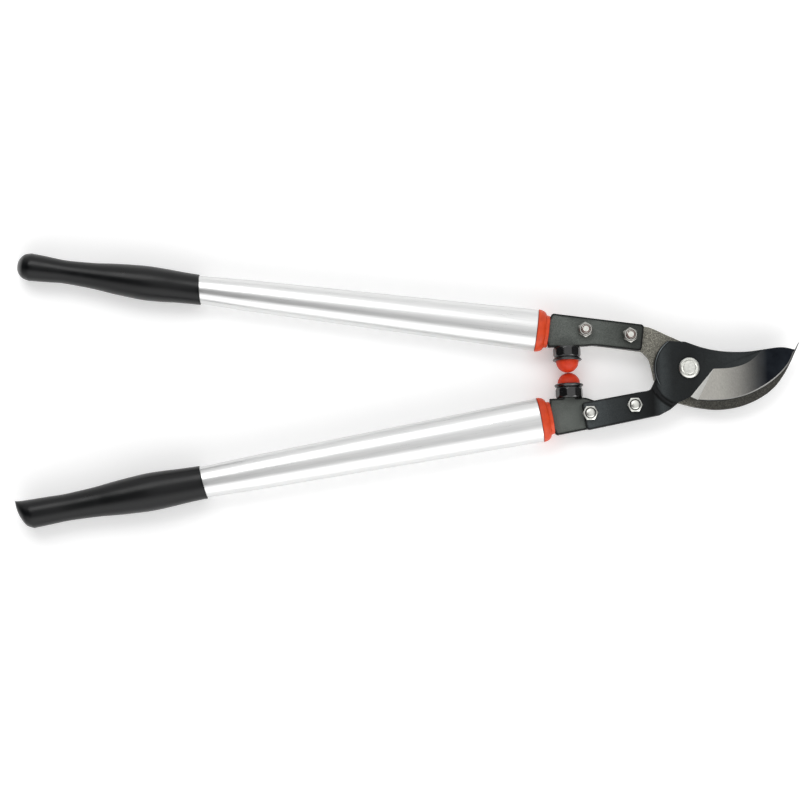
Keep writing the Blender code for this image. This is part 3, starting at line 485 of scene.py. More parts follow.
def finish_mesh(name, bm, sharp_degrees=SHARP):
    bmesh.ops.recalc_face_normals(bm, faces=bm.faces)
    mesh = bpy.data.meshes.new(name)
    bm.to_mesh(mesh)
    bm.free()
    mesh.shade_smooth()
    mesh.set_sharp_from_angle(angle=math.radians(sharp_degrees))
    return mesh


def add_piece(name, mesh, node, body, materials):
    """A visible piece that stands for one CAD node."""
    piece = bpy.data.objects.new(name, mesh)
    bpy.context.scene.collection.objects.link(piece)
    for material in materials:
        mesh.materials.append(material)
    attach(piece, body)
    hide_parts(node)
    return piece


def add_rows(bm, rows, ring=True, material=0):
    """Quads between rows of corners. Each row is a closed ring, or an open line."""
    made = []
    for first, second in zip(rows, rows[1:]):
        count = len(first)
        for i in range(count if ring else count - 1):
            j = (i + 1) % count
            corners = list(dict.fromkeys((first[i], first[j], second[j], second[i])))
            if len(corners) > 2:
                face = bm.faces.new(corners)
                face.material_index = material
                made.append(face)
    return made


def cap(bm, ring, point):
    """Closes a ring with a fan about one point."""
    pole = bm.verts.new(point)
    for i, vert in enumerate(ring):
        bm.faces.new((vert, ring[(i + 1) % len(ring)], pole))


def loft(name, rings, place, closed="caps", sharp_degrees=SHARP):
    """A solid skinned over rings of points: capped at both ends, or closed through a bore."""
    bm = bmesh.new()
    rows = [[bm.verts.new(place @ Vector(p)) for p in ring] for ring in rings]
    if closed == "bore":
        rows.append(rows[0])
    else:
        cap(bm, rows[0], sum((v.co for v in rows[0]), Vector()) / len(rows[0]))
        cap(bm, rows[-1], sum((v.co for v in rows[-1]), Vector()) / len(rows[-1]))
    add_rows(bm, rows)
    return finish_mesh(name, bm, sharp_degrees)


def oval(section, grow=0.0, slant=0.0):
    """An oval ring across X from (station, centre across, centre up, half width, half depth)."""
    x, y, z, width, depth = section
    across = (width + grow) * np.cos(ANGLES)
    return np.stack([x - slant * across, y + across, z + (depth + grow) * np.sin(ANGLES)], 1)


def faceted(sides, across_flats, turn=0.0):
    """Radii of a regular polygon at each of the ANGLES, with its first corner at a turn."""
    step = math.tau / sides
    from_flat = (ANGLES - turn) % step - step / 2
    return across_flats / 2 / np.cos(from_flat)


def turned_ring(height, radius):
    """A ring about Z. Its height and radius are numbers, or arrays with one for each of the ANGLES."""
    return np.stack([radius * np.cos(ANGLES), radius * np.sin(ANGLES), height + 0 * ANGLES], 1)


def round_profile(profile, radius, steps=4):
    """The turned profile of (height, radius) points with its corners rounded off."""
    points = [Vector(p) for p in profile]
    drawn = [points[0]]
    for before, corner, after in zip(points, points[1:], points[2:]):
        to_before, to_after = before - corner, after - corner
        reach = min(radius, to_before.length * ROUND_SHARE, to_after.length * ROUND_SHARE)
        start = corner + to_before.normalized() * reach
        end = corner + to_after.normalized() * reach
        for i in range(steps + 1):
            t = i / steps
            drawn.append(start * (1 - t) ** 2 + corner * 2 * t * (1 - t) + end * t**2)
    drawn.append(points[-1])
    return drawn


def plate(name, outline, bottom, top, bevel, holes):
    """A flat bar from its outline, with drilled holes and rounded edges."""
    bm = bmesh.new()
    face = bm.faces.new([bm.verts.new((p[0], p[1], bottom)) for p in outline])
    raised = bmesh.ops.extrude_face_region(bm, geom=[face])["geom"]
    moved = [v for v in raised if isinstance(v, bmesh.types.BMVert)]
    bmesh.ops.translate(bm, verts=moved, vec=(0, 0, top - bottom))
    return worked(name, finish_mesh(name, bm), drills(holes, bottom, top), SHARP, bevel)


def drills(holes, bottom, top):
    """A round cutter for each (x, y, diameter) hole of a plate."""
    cutters = []
    for x, y, diameter in holes:
        rings = [turned_ring(z, diameter / 2) for z in (bottom - DRILL_OVER, top + DRILL_OVER)]
        cutters.append(loft("drill", rings, Matrix.Translation((x, y, 0))))
    return cutters


def worked(name, mesh, cutter_meshes, sharp_degrees, bevel=0.0):
    """The mesh after its cutters are taken out and, where a bevel is given, its edges are rounded."""
    linked = bpy.context.scene.collection.objects
    body = bpy.data.objects.new(name + "_work", mesh)
    linked.link(body)
    cutters = []
    for cutter_mesh in cutter_meshes:
        cutter = bpy.data.objects.new(name + "_cutter", cutter_mesh)
        linked.link(cutter)
        cut = body.modifiers.new("cut", "BOOLEAN")
        cut.object = cutter
        cutters.append(cutter)
    if bevel:
        rounding = body.modifiers.new("edges", "BEVEL")
        rounding.width = bevel
        rounding.segments = BEVEL_STEPS
        rounding.limit_method = "ANGLE"
        rounding.angle_limit = math.radians(sharp_degrees)
        rounding.use_clamp_overlap = True
    graph = bpy.context.evaluated_depsgraph_get()
    made = bpy.data.meshes.new_from_object(body.evaluated_get(graph))
    for obj in (body, *cutters):
        bpy.data.objects.remove(obj)
    made.shade_smooth()
    made.set_sharp_from_angle(angle=math.radians(sharp_degrees))
    made.name = name
    return made


# --- materials -----------------------------------------------------------------------------

def start_material(name, roughness, metallic=0.0, specular=0.5):
    material = bpy.data.materials.new(name)
    material.use_nodes = True
    shader = material.node_tree.nodes[SHADER]
    shader.inputs["Roughness"].default_value = roughness
    shader.inputs["Metallic"].default_value = metallic
    shader.inputs["Specular IOR Level"].default_value = specular
    return material, material.node_tree


def dressed(material, colour, gloss, heights):
    """The material after it gets a colour, a roughness as (noise, low, high), and its bumps."""
    tree = material.node_tree
    shader = tree.nodes[SHADER]
    tree.links.new(colour, shader.inputs["Base Color"])
    tree.links.new(spread(tree, *gloss), shader.inputs["Roughness"])
    bumped(tree, shader, heights)
    return material


def grain(tree, scale, detail=4.0, stretch=(1, 1, 1), turn=0.0, rough=0.55):
    """Noise over the piece: scale is in cells per metre, and stretch draws it out along an axis."""
    coordinates = tree.nodes.new("ShaderNodeTexCoord")
    mapping = tree.nodes.new("ShaderNodeMapping")
    mapping.vector_type = "TEXTURE"
    mapping.inputs["Rotation"].default_value = (0, 0, turn)
    mapping.inputs["Scale"].default_value = stretch
    texture = tree.nodes.new("ShaderNodeTexNoise")
    texture.inputs["Scale"].default_value = scale
    texture.inputs["Detail"].default_value = detail
    texture.inputs["Roughness"].default_value = rough
    tree.links.new(coordinates.outputs["Object"], mapping.inputs["Vector"])
    tree.links.new(mapping.outputs["Vector"], texture.inputs["Vector"])
    return texture.outputs["Fac"]


def ramp(tree, source, stops):
    """Colours along a value. Each stop is (position, (red, green, blue))."""
    node = tree.nodes.new("ShaderNodeValToRGB")
    elements = node.color_ramp.elements
    while len(elements) < len(stops):
        elements.new(0.5)
    for element, (position, colour) in zip(elements, stops):
        element.position = position
        element.color = (*colour, 1.0)
    tree.links.new(source, node.inputs["Fac"])
    return node.outputs["Color"]


def greys(stops):
    return [(position, (level, level, level)) for position, level in stops]


def tinted(colour, factor):
    return tuple(min(1.0, part * factor) for part in colour)


def mottled(tree, noise_value, low, high):
    """A colour that wanders between two with a noise."""
    return ramp(tree, noise_value, [(0.3, low), (0.7, high)])


def spread(tree, source, low, high, start=0.3, end=0.7):
    """Maps a value, by default a noise, to a range of numbers."""
    node = tree.nodes.new("ShaderNodeMapRange")
    sockets = {"From Min": start, "From Max": end, "To Min": low, "To Max": high}
    for socket, value in sockets.items():
        node.inputs[socket].default_value = value
    tree.links.new(source, node.inputs["Value"])
    return node.outputs["Result"]


def blended(tree, share, first, second, kind="MIX"):
    """Two colours mixed by a value."""
    node = tree.nodes.new("ShaderNodeMix")
    node.data_type = "RGBA"
    node.blend_type = kind
    if isinstance(share, float):
        node.inputs["Factor"].default_value = share
    else:
        tree.links.new(share, node.inputs["Factor"])
    tree.links.new(first, node.inputs[6])
    tree.links.new(second, node.inputs[7])
    return node.outputs[2]


def bumped(tree, shader, heights):
    """Bumps, each (noise, height in metres), one on top of the other."""
    normal = None
    for height, distance in heights:
        node = tree.nodes.new("ShaderNodeBump")
        node.inputs["Strength"].default_value = 1.0
        node.inputs["Distance"].default_value = distance
        tree.links.new(height, node.inputs["Height"])
        if normal:
            tree.links.new(normal, node.inputs["Normal"])
        normal = node.outputs["Normal"]
    tree.links.new(normal, shader.inputs["Normal"])


def along_axis(tree, axis, start, end):
    """0 to 1 between two places along one of the tool's axes."""
    coordinates = tree.nodes.new("ShaderNodeTexCoord")
    parts = tree.nodes.new("ShaderNodeSeparateXYZ")
    tree.links.new(coordinates.outputs["Object"], parts.inputs["Vector"])
    return spread(tree, parts.outputs[axis], 0.0, 1.0, start, end)


def edge_nearness(tree, radius):
    """1 on open surfaces, falling towards 0 within a radius of an edge."""
    softened = tree.nodes.new("ShaderNodeBevel")
    softened.samples = 12
    softened.inputs["Radius"].default_value = radius
    geometry = tree.nodes.new("ShaderNodeNewGeometry")
    product = tree.nodes.new("ShaderNodeVectorMath")
    product.operation = "DOT_PRODUCT"
    tree.links.new(softened.outputs["Normal"], product.inputs[0])
    tree.links.new(geometry.outputs["True Normal"], product.inputs[1])
    return product.outputs["Value"]


def painted_disc_glint(tree, colour):
    """A thin painted highlight round the disc's left edge, between two painted dark lines."""
    coordinates = tree.nodes.new("ShaderNodeTexCoord")
    flat = tree.nodes.new("ShaderNodeVectorMath")
    flat.operation = "MULTIPLY"
    flat.inputs[1].default_value = (1.0, 1.0, 0.0)
    radius = tree.nodes.new("ShaderNodeVectorMath")
    radius.operation = "LENGTH"
    tree.links.new(coordinates.outputs["Object"], flat.inputs[0])
    tree.links.new(flat.outputs["Vector"], radius.inputs[0])
    share = spread(tree, radius.outputs["Value"], 0.0, 1.0, DISC_RADIUS - DISC_GLINT_WIDTH, DISC_RADIUS)
    with_painted_glint = shaded(tree, colour, share, DISC_GLINT_LEVELS)
    for axis, lead in (("X", DISC_GLINT_FADE), ("Y", -DISC_GLINT_FADE)):
        fade = along_axis(tree, axis, DISC_GLINT_END + lead, DISC_GLINT_END)
        with_painted_glint = blended(tree, fade, colour, with_painted_glint)
    return with_painted_glint


def shaded(tree, colour, share, stops):
    """The colour times a grey that changes with a value."""
    return blended(tree, 1.0, colour, ramp(tree, share, greys(stops)), "MULTIPLY")


def coated_steel(name, dark, light, roughness, speckle, painted_shades, with_painted_glint=False):
    """Phosphated or lacquered steel: specks over cloudy changes, with painted light and shade along axes
    and a painted dark outline along edges. Painted shades are (axis, from, to, stops).
    """
    material, tree = start_material(name, roughness, 0.1, specular=0.14)
    fine = grain(tree, speckle, 3.0)
    cloud = grain(tree, 90, 5.0)
    middle = tuple((a + b) / 2 for a, b in zip(dark, light))
    specks = ramp(tree, fine, [(0.34, dark), (0.5, middle), (0.66, light)])
    clouds = ramp(tree, cloud, [(0.35, tinted(middle, 0.78)), (0.65, tinted(middle, 1.2))])
    colour = blended(tree, 0.4, specks, clouds)
    # Painted light and shade along the tool's axes.
    for axis, start, end, stops in painted_shades:
        colour = shaded(tree, colour, along_axis(tree, axis, start, end), stops)
    # Painted shade: a dark outline along the edges.
    outlined = shaded(tree, colour, edge_nearness(tree, EDGE_RADIUS), EDGE_PAINTED_SHADES)
    # On the blade: a painted highlight round the disc, with the painted dark outline kept only at the
    # tang's end.
    if with_painted_glint:
        share = along_axis(tree, "X", *TANG_OUTLINED)
        outlined = blended(tree, share, outlined, painted_disc_glint(tree, colour))
    gloss = (cloud, roughness - 0.06, roughness + 0.08)
    return dressed(material, outlined, gloss, [(fine, 0.00005), (cloud, 0.0002)])


def painted_dark_shade_steel():
    """Painted dark shade for the plates' rims, the line along the cutting edge and the bolts' grooves:
    nearly black, with a soft shine.
    """
    material, tree = start_material("painted_dark_shade_steel", 0.35, specular=0.25)
    fine = grain(tree, 900, 3.0)
    tone = mottled(tree, fine, (0.0035, 0.004, 0.0045), (0.009, 0.010, 0.011))
    return dressed(material, tone, (fine, 0.3, 0.45), [(fine, 0.00004)])


def forged_steel():
    """Sand-blasted forging: bright and dark grains and a lumpy skin, with a painted shadow under the blade.
    """
    material, tree = start_material("forged_steel", 0.6, 0.45)
    grains = grain(tree, 1250, 2.5, rough=0.8)
    lumps = grain(tree, 300, 4.0)
    stops = [(0.38, (0.035, 0.034, 0.028)), (0.5, (0.135, 0.130, 0.106)), (0.62, (0.50, 0.48, 0.41))]
    tone = ramp(tree, grains, stops)
    shade = mottled(tree, lumps, (0.10, 0.096, 0.080), (0.22, 0.214, 0.180))
    # Painted shadow: the hook darkens along X, where it lies under the blade.
    painted_shadow_on_hook = along_axis(tree, "X", *HOOK_PAINTED_SHADOW)
    colour = shaded(tree, blended(tree, 0.35, tone, shade), painted_shadow_on_hook, HOOK_PAINTED_SHADOW_LEVELS)
    return dressed(material, colour, (grains, 0.5, 0.72), [(grains, 0.00010), (lumps, 0.0003)])


def ground_steel(name, reach, low, high):
    """Ground face: fine lines square to the edge, bright by the heel, fading to a painted dark reflection
    towards the tip.
    """
    material, tree = start_material(name, 0.34, 1.0)
    lines = grain(tree, 2600, 3.0, stretch=(1, 26, 1), turn=math.radians(14))
    cloud = grain(tree, 70, 3.0)
    bright = mottled(tree, lines, low, high)
    # The painted dark reflection that the ground face fades to towards the tip.
    deep = mottled(tree, cloud, (0.010, 0.012, 0.016), (0.020, 0.024, 0.030))
    share = along_axis(tree, "X", DARK_REFLECTION_FROM * reach, DARK_REFLECTION_TO * reach)
    colour = blended(tree, ramp(tree, share, greys(DARK_REFLECTION_LEVELS)), bright, deep)
    return dressed(material, colour, (lines, 0.30, 0.42), [(lines, 0.000012)])


def honed_steel():
    """The honed edge: bright, with lines that run along it, darkened along X by painted shade."""
    material, tree = start_material("honed_steel", 0.38, 1.0)
    lines = grain(tree, 3000, 2.0, stretch=(20, 1, 1), turn=math.radians(25))
    tone = mottled(tree, lines, (0.70, 0.695, 0.67), (0.90, 0.89, 0.86))
    # Painted shade along X.
    tone = shaded(tree, tone, along_axis(tree, "X", *HONED_PAINTED_SHADE), HONED_PAINTED_SHADE_LEVELS)
    return dressed(material, tone, (lines, 0.34, 0.46), [(lines, 0.00001)])


def plated_steel(name, tint, roughness):
    """Zinc plating: bright, slightly cloudy, with fine handling marks."""
    material, tree = start_material(name, roughness, 1.0)
    cloud = grain(tree, 420, 4.0)
    marks = grain(tree, 1800, 3.0, stretch=(1, 9, 1), turn=math.radians(35))
    tone = mottled(tree, cloud, tinted(tint, 0.84), tinted(tint, 1.08))
    gloss = (marks, roughness - 0.06, roughness + 0.1)
    return dressed(material, tone, gloss, [(marks, 0.000012), (cloud, 0.00002)])


def satin_aluminium(side):
    """Satin anodised tube: faint drawing lines along it and a very fine blasted grain."""
    material, tree = start_material(f"{side}_aluminium", 0.36, 1.0)
    turn = HANDLES[side].to_euler().z
    lines = grain(tree, 900, 4.0, stretch=(30, 1, 1), turn=turn)
    fine = grain(tree, 3200, 2.0)
    tone = mottled(tree, lines, (0.68, 0.685, 0.685), (0.755, 0.755, 0.75))
    return dressed(material, tone, (lines, 0.27, 0.34), [(lines, 0.000012), (fine, 0.000008)])


def black_rubber():
    """Soft grip rubber: matt, faintly blue, with a fine moulded grain and slightly shiny patches."""
    material, tree = start_material("black_rubber", 0.48, specular=0.30)
    fine = grain(tree, 2400, 3.0)
    cloud = grain(tree, 60, 4.0)
    tone = mottled(tree, cloud, (0.0010, 0.0013, 0.0016), (0.0022, 0.0026, 0.0032))
    return dressed(material, tone, (cloud, 0.27, 0.36), [(fine, 0.00002), (cloud, 0.0001)])


def gloss_plastic():
    """Glossy black housing with faint moulding waves."""
    material, tree = start_material("gloss_plastic", 0.16, specular=0.85)
    fine = grain(tree, 1500, 2.0)
    waves = grain(tree, 260, 3.0)
    tone = mottled(tree, waves, (0.0015, 0.0015, 0.0018), (0.003, 0.003, 0.0035))
    return dressed(material, tone, (fine, 0.13, 0.24), [(waves, 0.00008), (fine, 0.00001)])


def red_plastic(name, deep, bright, roughness):
    """Red polymer: slightly mottled, with a fine eroded skin and a little light under it."""
    material, tree = start_material(name, roughness, specular=0.3)
    shader = tree.nodes[SHADER]
    shader.inputs["Subsurface Weight"].default_value = 0.08
    shader.inputs["Subsurface Radius"].default_value = (0.002, 0.0006, 0.0003)
    fine = grain(tree, 2200, 3.0)
    cloud = grain(tree, 140, 4.0)
    gloss = (fine, roughness - 0.06, roughness + 0.1)
    return dressed(material, mottled(tree, cloud, deep, bright), gloss, [(fine, 0.00002), (cloud, 0.00008)])


def nylon(name, deep, bright):
    material, tree = start_material(name, 0.5, specular=0.2)
    fine = grain(tree, 1800, 3.0)
    return dressed(material, mottled(tree, fine, deep, bright), (fine, 0.42, 0.6), [(fine, 0.00003)])


def pale_floor():
    material, tree = start_material("pale_floor", 0.7, specular=0.2)
    shader = tree.nodes[SHADER]
    tone = mottled(tree, grain(tree, 3, 3.0), (0.93, 0.93, 0.93), (0.95, 0.95, 0.95))
    tree.links.new(tone, shader.inputs["Base Color"])
    shader.inputs["Emission Color"].default_value = (1.0, 1.0, 1.0, 1.0)
    shader.inputs["Emission Strength"].default_value = FLOOR_GLOW
    return material


# --- handles -------------------------------------------------------------------------------

def tube(side):
    """A tapered oval tube with a real wall, its mouth deburred and its far end inside the grip."""
    name = f"{side}_tube"
    place = HANDLES[side]
    length = in_frame(name, place)[:, 0].max()
    sections = girths(name, place, np.linspace(TUBE_LIP, length - TUBE_LIP, TUBE_STATIONS))
    outside = [oval(s) for s in sections]
    inside = [oval(s, grow=-TUBE_WALL) for s in sections]
    mouth, end = (0.0, *sections[0][1:]), (length, *sections[-1][1:])
    mouth_rims = [oval(mouth, grow=TUBE_LIP - TUBE_WALL), oval(mouth, grow=-TUBE_LIP)]
    end_rims = [oval(end, grow=-TUBE_LIP), oval(end, grow=TUBE_LIP - TUBE_WALL)]
    rings = [*mouth_rims, *outside, *end_rims, *inside[::-1]]
    mesh = loft(name, rings, place, closed="bore")
    add_piece(f"{side}_handle_tube", mesh, name, BODY[side], [satin_aluminium(side)])


def grip(side, material):
    """A moulded sleeve: a rolled rim at its slanted front, a swell, a waist and a leaning dome."""
    name = f"{side}_grip"
    place = HANDLES[side]
    points = in_frame(name, place)
    end = points[:, 0].max()
    fronts = [points[points[:, 1] * sign > GRIP_FLANK, 0].min() for sign in (1, -1)]
    front = sum(fronts) / 2
    dome = end - GRIP_DOME
    body = girths(name, place, np.linspace(front + GRIP_LEAD, dome, GRIP_STATIONS))
    slant = (fronts[1] - fronts[0]) / 2 / body[0][3]
    rises = [GRIP_DOME * math.sin(math.radians(a)) for a in GRIP_TAIL]
    tail = girths(name, place, [dome + rise for rise in rises])
    sections = curve([(front, *body[0][1:]), *body], 6) + curve([body[-1], *tail], 3)[1:]
    rings = []
    for angle in (90, 60, 30):
        lean = math.radians(angle)
        back = GRIP_RIM * (1 - math.sin(lean))
        rim = (front + back, *sections[0][1:])
        rings.append(oval(rim, grow=-GRIP_RIM * (1 - math.cos(lean)), slant=slant))
    for section in sections:
        fade = max(0.0, 1 - (section[0] - front) / GRIP_SLANT_FADE)
        shift = GRIP_RIM if section[0] < front + GRIP_RIM else 0.0
        rings.append(oval((section[0] + shift, *section[1:]), slant=slant * fade))
    seat = [(front + depth, *sections[0][1:]) for depth in (GRIP_SOCKET, 0.0)]
    socket = [oval(s, grow=-GRIP_SKIN, slant=slant) for s in seat]
    mesh = loft(name, [*socket, *rings], place, sharp_degrees=40)
    add_piece(f"{side}_handle_grip", mesh, name, BODY[side], [material])


def collar(side, materials):
    """The ring at the tube's mouth: a rounded shoulder and a neck, slotted for the strap's tongue."""
    name = f"{side}_collar"
    place = HANDLES[side]
    points = in_frame(name, place)
    front, rear = points[:, 0].min(), points[:, 0].max()
    shoulder = np.linspace(rear - COLLAR_INSET, front + COLLAR_NECK, 9)
    sections = girths(name, place, shoulder)
    neck = girths(name, place, [front + COLLAR_NECK / 2])[0]
    rings = [oval((rear, *sections[0][1:]), grow=-COLLAR_ROUND)]
    rings += [oval(s) for s in curve(sections, 5)]
    rings += [oval((front + COLLAR_ROUND, *neck[1:])), oval((front, *neck[1:]), grow=-COLLAR_ROUND)]
    tongue = girths(f"{side}_strap", place, [(front + rear) / 2])[0]
    mesh = loft(name, rings, place, sharp_degrees=COLLAR_SHARP)
    slot = block((front - SLOT_OVER, tongue, rear + SLOT_OVER), place)
    made = worked(name, mesh, [slot], COLLAR_SHARP)
    add_piece(f"{side}_handle_collar", made, name, BODY[side], materials)
    inverse = place.inverted()
    for face in made.polygons:
        if (inverse @ face.center).x < front + COLLAR_LIP:
            face.material_index = 1


def block(run, place):
    """A cutter round a bar: run is (start, the bar's section, end) along X of the frame."""
    start, (_, y, z, width, depth), end = run
    low = Vector((start, y - width - HOLE_SLACK, z - depth - HOLE_SLACK))
    high = Vector((end, y + width + HOLE_SLACK, z + depth + HOLE_SLACK))
    bm = bmesh.new()
    bmesh.ops.create_cube(bm, size=1.0)
    shape = place @ Matrix.Translation((low + high) / 2) @ Matrix.Diagonal((*(high - low), 1.0))
    bmesh.ops.transform(bm, matrix=shape, verts=bm.verts)
    return finish_mesh("block", bm)


# --- plates --------------------------------------------------------------------------------

def bolt_holes(side, diameter):
    owner = OWNER[side]
    middles = [middle_of(f"{owner}_bolt_{i}") for i in (1, 2)]
    return [(m.x, m.y, diameter) for m in middles]


def strap(side, materials):
    name = f"{side}_strap"
    low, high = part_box(name)
    outline = smooth_loop(outline_of(name))
    holes = bolt_holes(side, BOLT_HOLE)
    mesh = plate(name, outline, low.z, high.z, PLATE_BEVEL, holes)
    add_piece(f"{side}_head_strap", mesh, name, BODY[side], materials)
    paint_dark_shade_on_rim(mesh, 1)


def paint_dark_shade_on_rim(mesh, index):
    """Gives the walls and the outer part of the rounded edges their own material, the painted dark shade.
    """
    for face in mesh.polygons:
        if face.material_index == 0 and abs(face.normal.z) < RIM_TILT:
            face.material_index = index


def hook(material):
    """The forged counter blade, with a slightly wavering outline and a needle for a tip."""
    name = "hook_blade"
    low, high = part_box(name)
    corners = outline_of(name)
    tip = max(range(len(corners)), key=lambda i: corners[i].x)
    inner = max(tip - 1, (tip + 1) % len(corners), key=lambda i: corners[i].y)
    corners[inner] = corners[inner] + Vector(NEEDLE_FILL)
    outline = []
    for point in smooth_loop(corners, NEEDLE_START):
        wander = WANDER * noise.noise(Vector((point.x * WANDER_SCALE, point.y * WANDER_SCALE, 3.0)))
        outline.append(point * (1 + wander) if point.x < NEEDLE_START else point)
    holes = [*bolt_holes("upper", BOLT_HOLE), (0.0, 0.0, PIVOT_HOLE)]
    mesh = plate(name, outline, low.z, high.z, HOOK_BEVEL, holes)
    add_piece("hook_forging", mesh, name, BODY["upper"], [material])


# --- blade ---------------------------------------------------------------------------------

def jaw_points(shares, reach):
    return [(along * reach, across * reach) for along, across in shares]


def on_handle(side, along, outward):
    """A point of the tool's plane, from its place along a handle and outwards of its axis."""
    place = HANDLES[side]
    pivot = place.inverted() @ Vector((0, 0, place.translation.z))
    away = -math.copysign(1.0, pivot.y)
    return (place @ Vector((pivot.x + along, away * outward, 0))).xy


def rounded(before, corner, after, radius, steps=12):
    """The arc that rounds off a corner between two straight edges."""
    to_before = (before - corner).normalized()
    to_after = (after - corner).normalized()
    half = to_before.angle(to_after) / 2
    centre = corner + (to_before + to_after).normalized() * radius / math.sin(half)
    first = corner + to_before * radius / math.tan(half) - centre
    turn = first.angle_signed(corner + to_after * radius / math.tan(half) - centre)
    return [centre + Matrix.Rotation(-turn * i / steps, 2) @ first for i in range(steps + 1)]


def tang_outline():
    """The tang from the throat round its end and back to the foot of the slope."""
    end_inner = on_handle("lower", TANG_END, -TANG_END_INNER)
    end_outer = on_handle("lower", TANG_END, TANG_END_OUTER)
    neck_inner = on_handle("lower", TANG_NECK, -TANG_NECK_INNER)
    neck_outer = on_handle("lower", TANG_NECK - TANG_NECK_LEAD, TANG_NECK_OUTER)
    first = rounded(neck_inner, end_inner, end_outer, TANG_CORNER)
    second = rounded(end_inner, end_outer, neck_outer, TANG_CORNER)
    return [neck_inner, *first, *second, neck_outer]


def step_rows(bm, top, foot, inner, face, tang_face):
    """Rows of corners down the slope, with an S-shaped fall and a filleted inner side."""
    rows = []
    for k, edge_point in enumerate(inner):
        t = k / (len(inner) - 1)
        height = face + (tang_face - face) * t * t * (3 - 2 * t)
        pull = Vector(edge_point) - top[0].lerp(foot[0], t)
        row = []
        for i, (high, low) in enumerate(zip(top, foot)):
            point = high.lerp(low, t) + pull * (1 - i / (len(top) - 1)) ** 4
            row.append(bm.verts.new((*point, height)))
        rows.append(row)
    return rows


def far_line(reach):
    """The ground line and the back, as points with even spacing, and the number before the back."""
    ground = curve(jaw_points(GROUND_LINE, reach), 16)
    back = curve([ground[-1], *jaw_points([SPINE_CREST, BLADE_TIP], reach)], 16)
    ahead = int(GRIND_COLUMNS * GROUND_SHARE)
    first = evenly(ground, ahead + 1)
    second = evenly(back, GRIND_COLUMNS - ahead + 1)
    return [*first, *second[1:]], ahead


def grind_rows(bm, reach, bottom, face):
    """Rows of corners from the cutting edge to the far line, and the number before the back."""
    far, ahead = far_line(reach)
    edge = evenly(curve(jaw_points([*CUTTING_EDGE, BLADE_TIP], reach), 16), len(far))
    behind = len(far) - 1 - ahead
    low = bottom + EDGE_HEIGHT
    rows = [[] for _ in range(GRIND_ROWS + 3)]
    for i, (near_point, far_point) in enumerate(zip(edge, far)):
        span = far_point - near_point
        width = np.linalg.norm(span)
        if width < 1e-5:
            tip = bm.verts.new((*near_point, low))
            for row in rows:
                row.append(tip)
            continue
        bevel = MICRO_HEEL + (MICRO_BEVEL - MICRO_HEEL) * (i / (len(far) - 1)) ** HONED_GROWTH
        honed = min(bevel / width, HONED_SHARE)
        honed_height = low + MICRO_RISE * bevel / MICRO_BEVEL * min(1.0, HONED_SHARE * width / bevel)
        far_height = face + (low - face) * max(0, i - ahead) / behind
        rows[0].append(bm.verts.new((*near_point, low)))
        line = min(EDGE_LINE / width, honed * HONED_SHARE)
        line_height = low + (honed_height - low) * line / honed
        rows[1].append(bm.verts.new((*(near_point + span * line), line_height)))
        for k in range(GRIND_ROWS + 1):
            t = k / GRIND_ROWS
            point = near_point + span * (honed + (1 - honed) * t)
            sag = HOLLOW * 4 * t * (1 - t) * min(1.0, width / HOLLOW_WIDTH)
            height = honed_height + (far_height - honed_height) * t - sag
            rows[k + 2].append(bm.verts.new((*point, height)))
    return rows, ahead


def blade_surface(reach, bottom, face):
    """Disc, spine, joggled tang, hollow-ground face, plunge and honed edge, as one closed skin."""
    tang_face = face - TANG_STEP
    bm = bmesh.new()

    def corners(points, height):
        return [bm.verts.new((p[0], p[1], height)) for p in points]

    step_top = arc((0, 0), DISC_RADIUS + STEP_EDGE, *STEP_TOP_ARC, STEP_COLUMNS)
    step_foot = arc((0, 0), DISC_RADIUS + STEP_RUN, *STEP_FOOT_ARC, STEP_COLUMNS)
    disc = arc((0, 0), DISC_RADIUS, *DISC_ARC, DISC_COLUMNS)
    tang = tang_outline()
    throat = curve([disc[-1], step_top[0], THROAT, step_foot[0], tang[0]], THROAT_STEPS)
    slope = step_rows(bm, step_top, step_foot, throat[THROAT_STEPS:3 * THROAT_STEPS + 1], face, tang_face)
    grind, ahead = grind_rows(bm, reach, bottom, face)
    far = grind[-1]
    spine_line = curve([jaw_points(GROUND_LINE, reach)[-1], *jaw_points(BLADE_SPINE, reach)], 12)[1:]

    rim = corners(disc, face)
    lead = corners(throat[1:THROAT_STEPS], face)
    tail = corners(throat[3 * THROAT_STEPS + 1:-1], tang_face)
    tang_rim = corners(tang, tang_face)
    heel = corners([HEEL], face)[0]
    spine = corners(spine_line, face)

    bm.faces.new([*rim, *lead, *slope[0], heel, *far[:ahead + 1], *spine])
    bm.faces.new([*slope[-1], *tang_rim[::-1], *tail[::-1]])
    add_rows(bm, slope, ring=False)
    # The painted shadow line along the cutting edge.
    add_rows(bm, grind[:2], ring=False, material=PAINTED_DARK_SHADE)
    add_rows(bm, grind[1:3], ring=False, material=HONED)
    add_rows(bm, grind[2:], ring=False, material=GROUND)
    bm.faces.new([heel, *[row[0] for row in grind]]).material_index = PLUNGE

    inner, outer = [row[0] for row in slope], [row[-1] for row in slope[::-1]]
    loop = [*rim, *lead, *inner, *tail, *tang_rim, *outer, heel, *grind[0], *far[ahead:-1][::-1], *spine]
    under = [bm.verts.new((v.co.x, v.co.y, bottom)) for v in loop]
    for i in range(len(loop)):
        j = (i + 1) % len(loop)
        bm.faces.new((loop[i], loop[j], under[j], under[i]))
    bm.faces.new(under)
    bmesh.ops.recalc_face_normals(bm, faces=bm.faces)
    bevelled = {*rim, *lead, *inner, *tail, *tang_rim, *outer, *spine}
    edges = [e for e in bm.edges if set(e.verts) <= bevelled and is_rim(e)]
    bmesh.ops.bevel(bm, geom=edges, offset=BLADE_BEVEL, segments=BEVEL_STEPS, profile=0.5, affect="EDGES")
    return bm


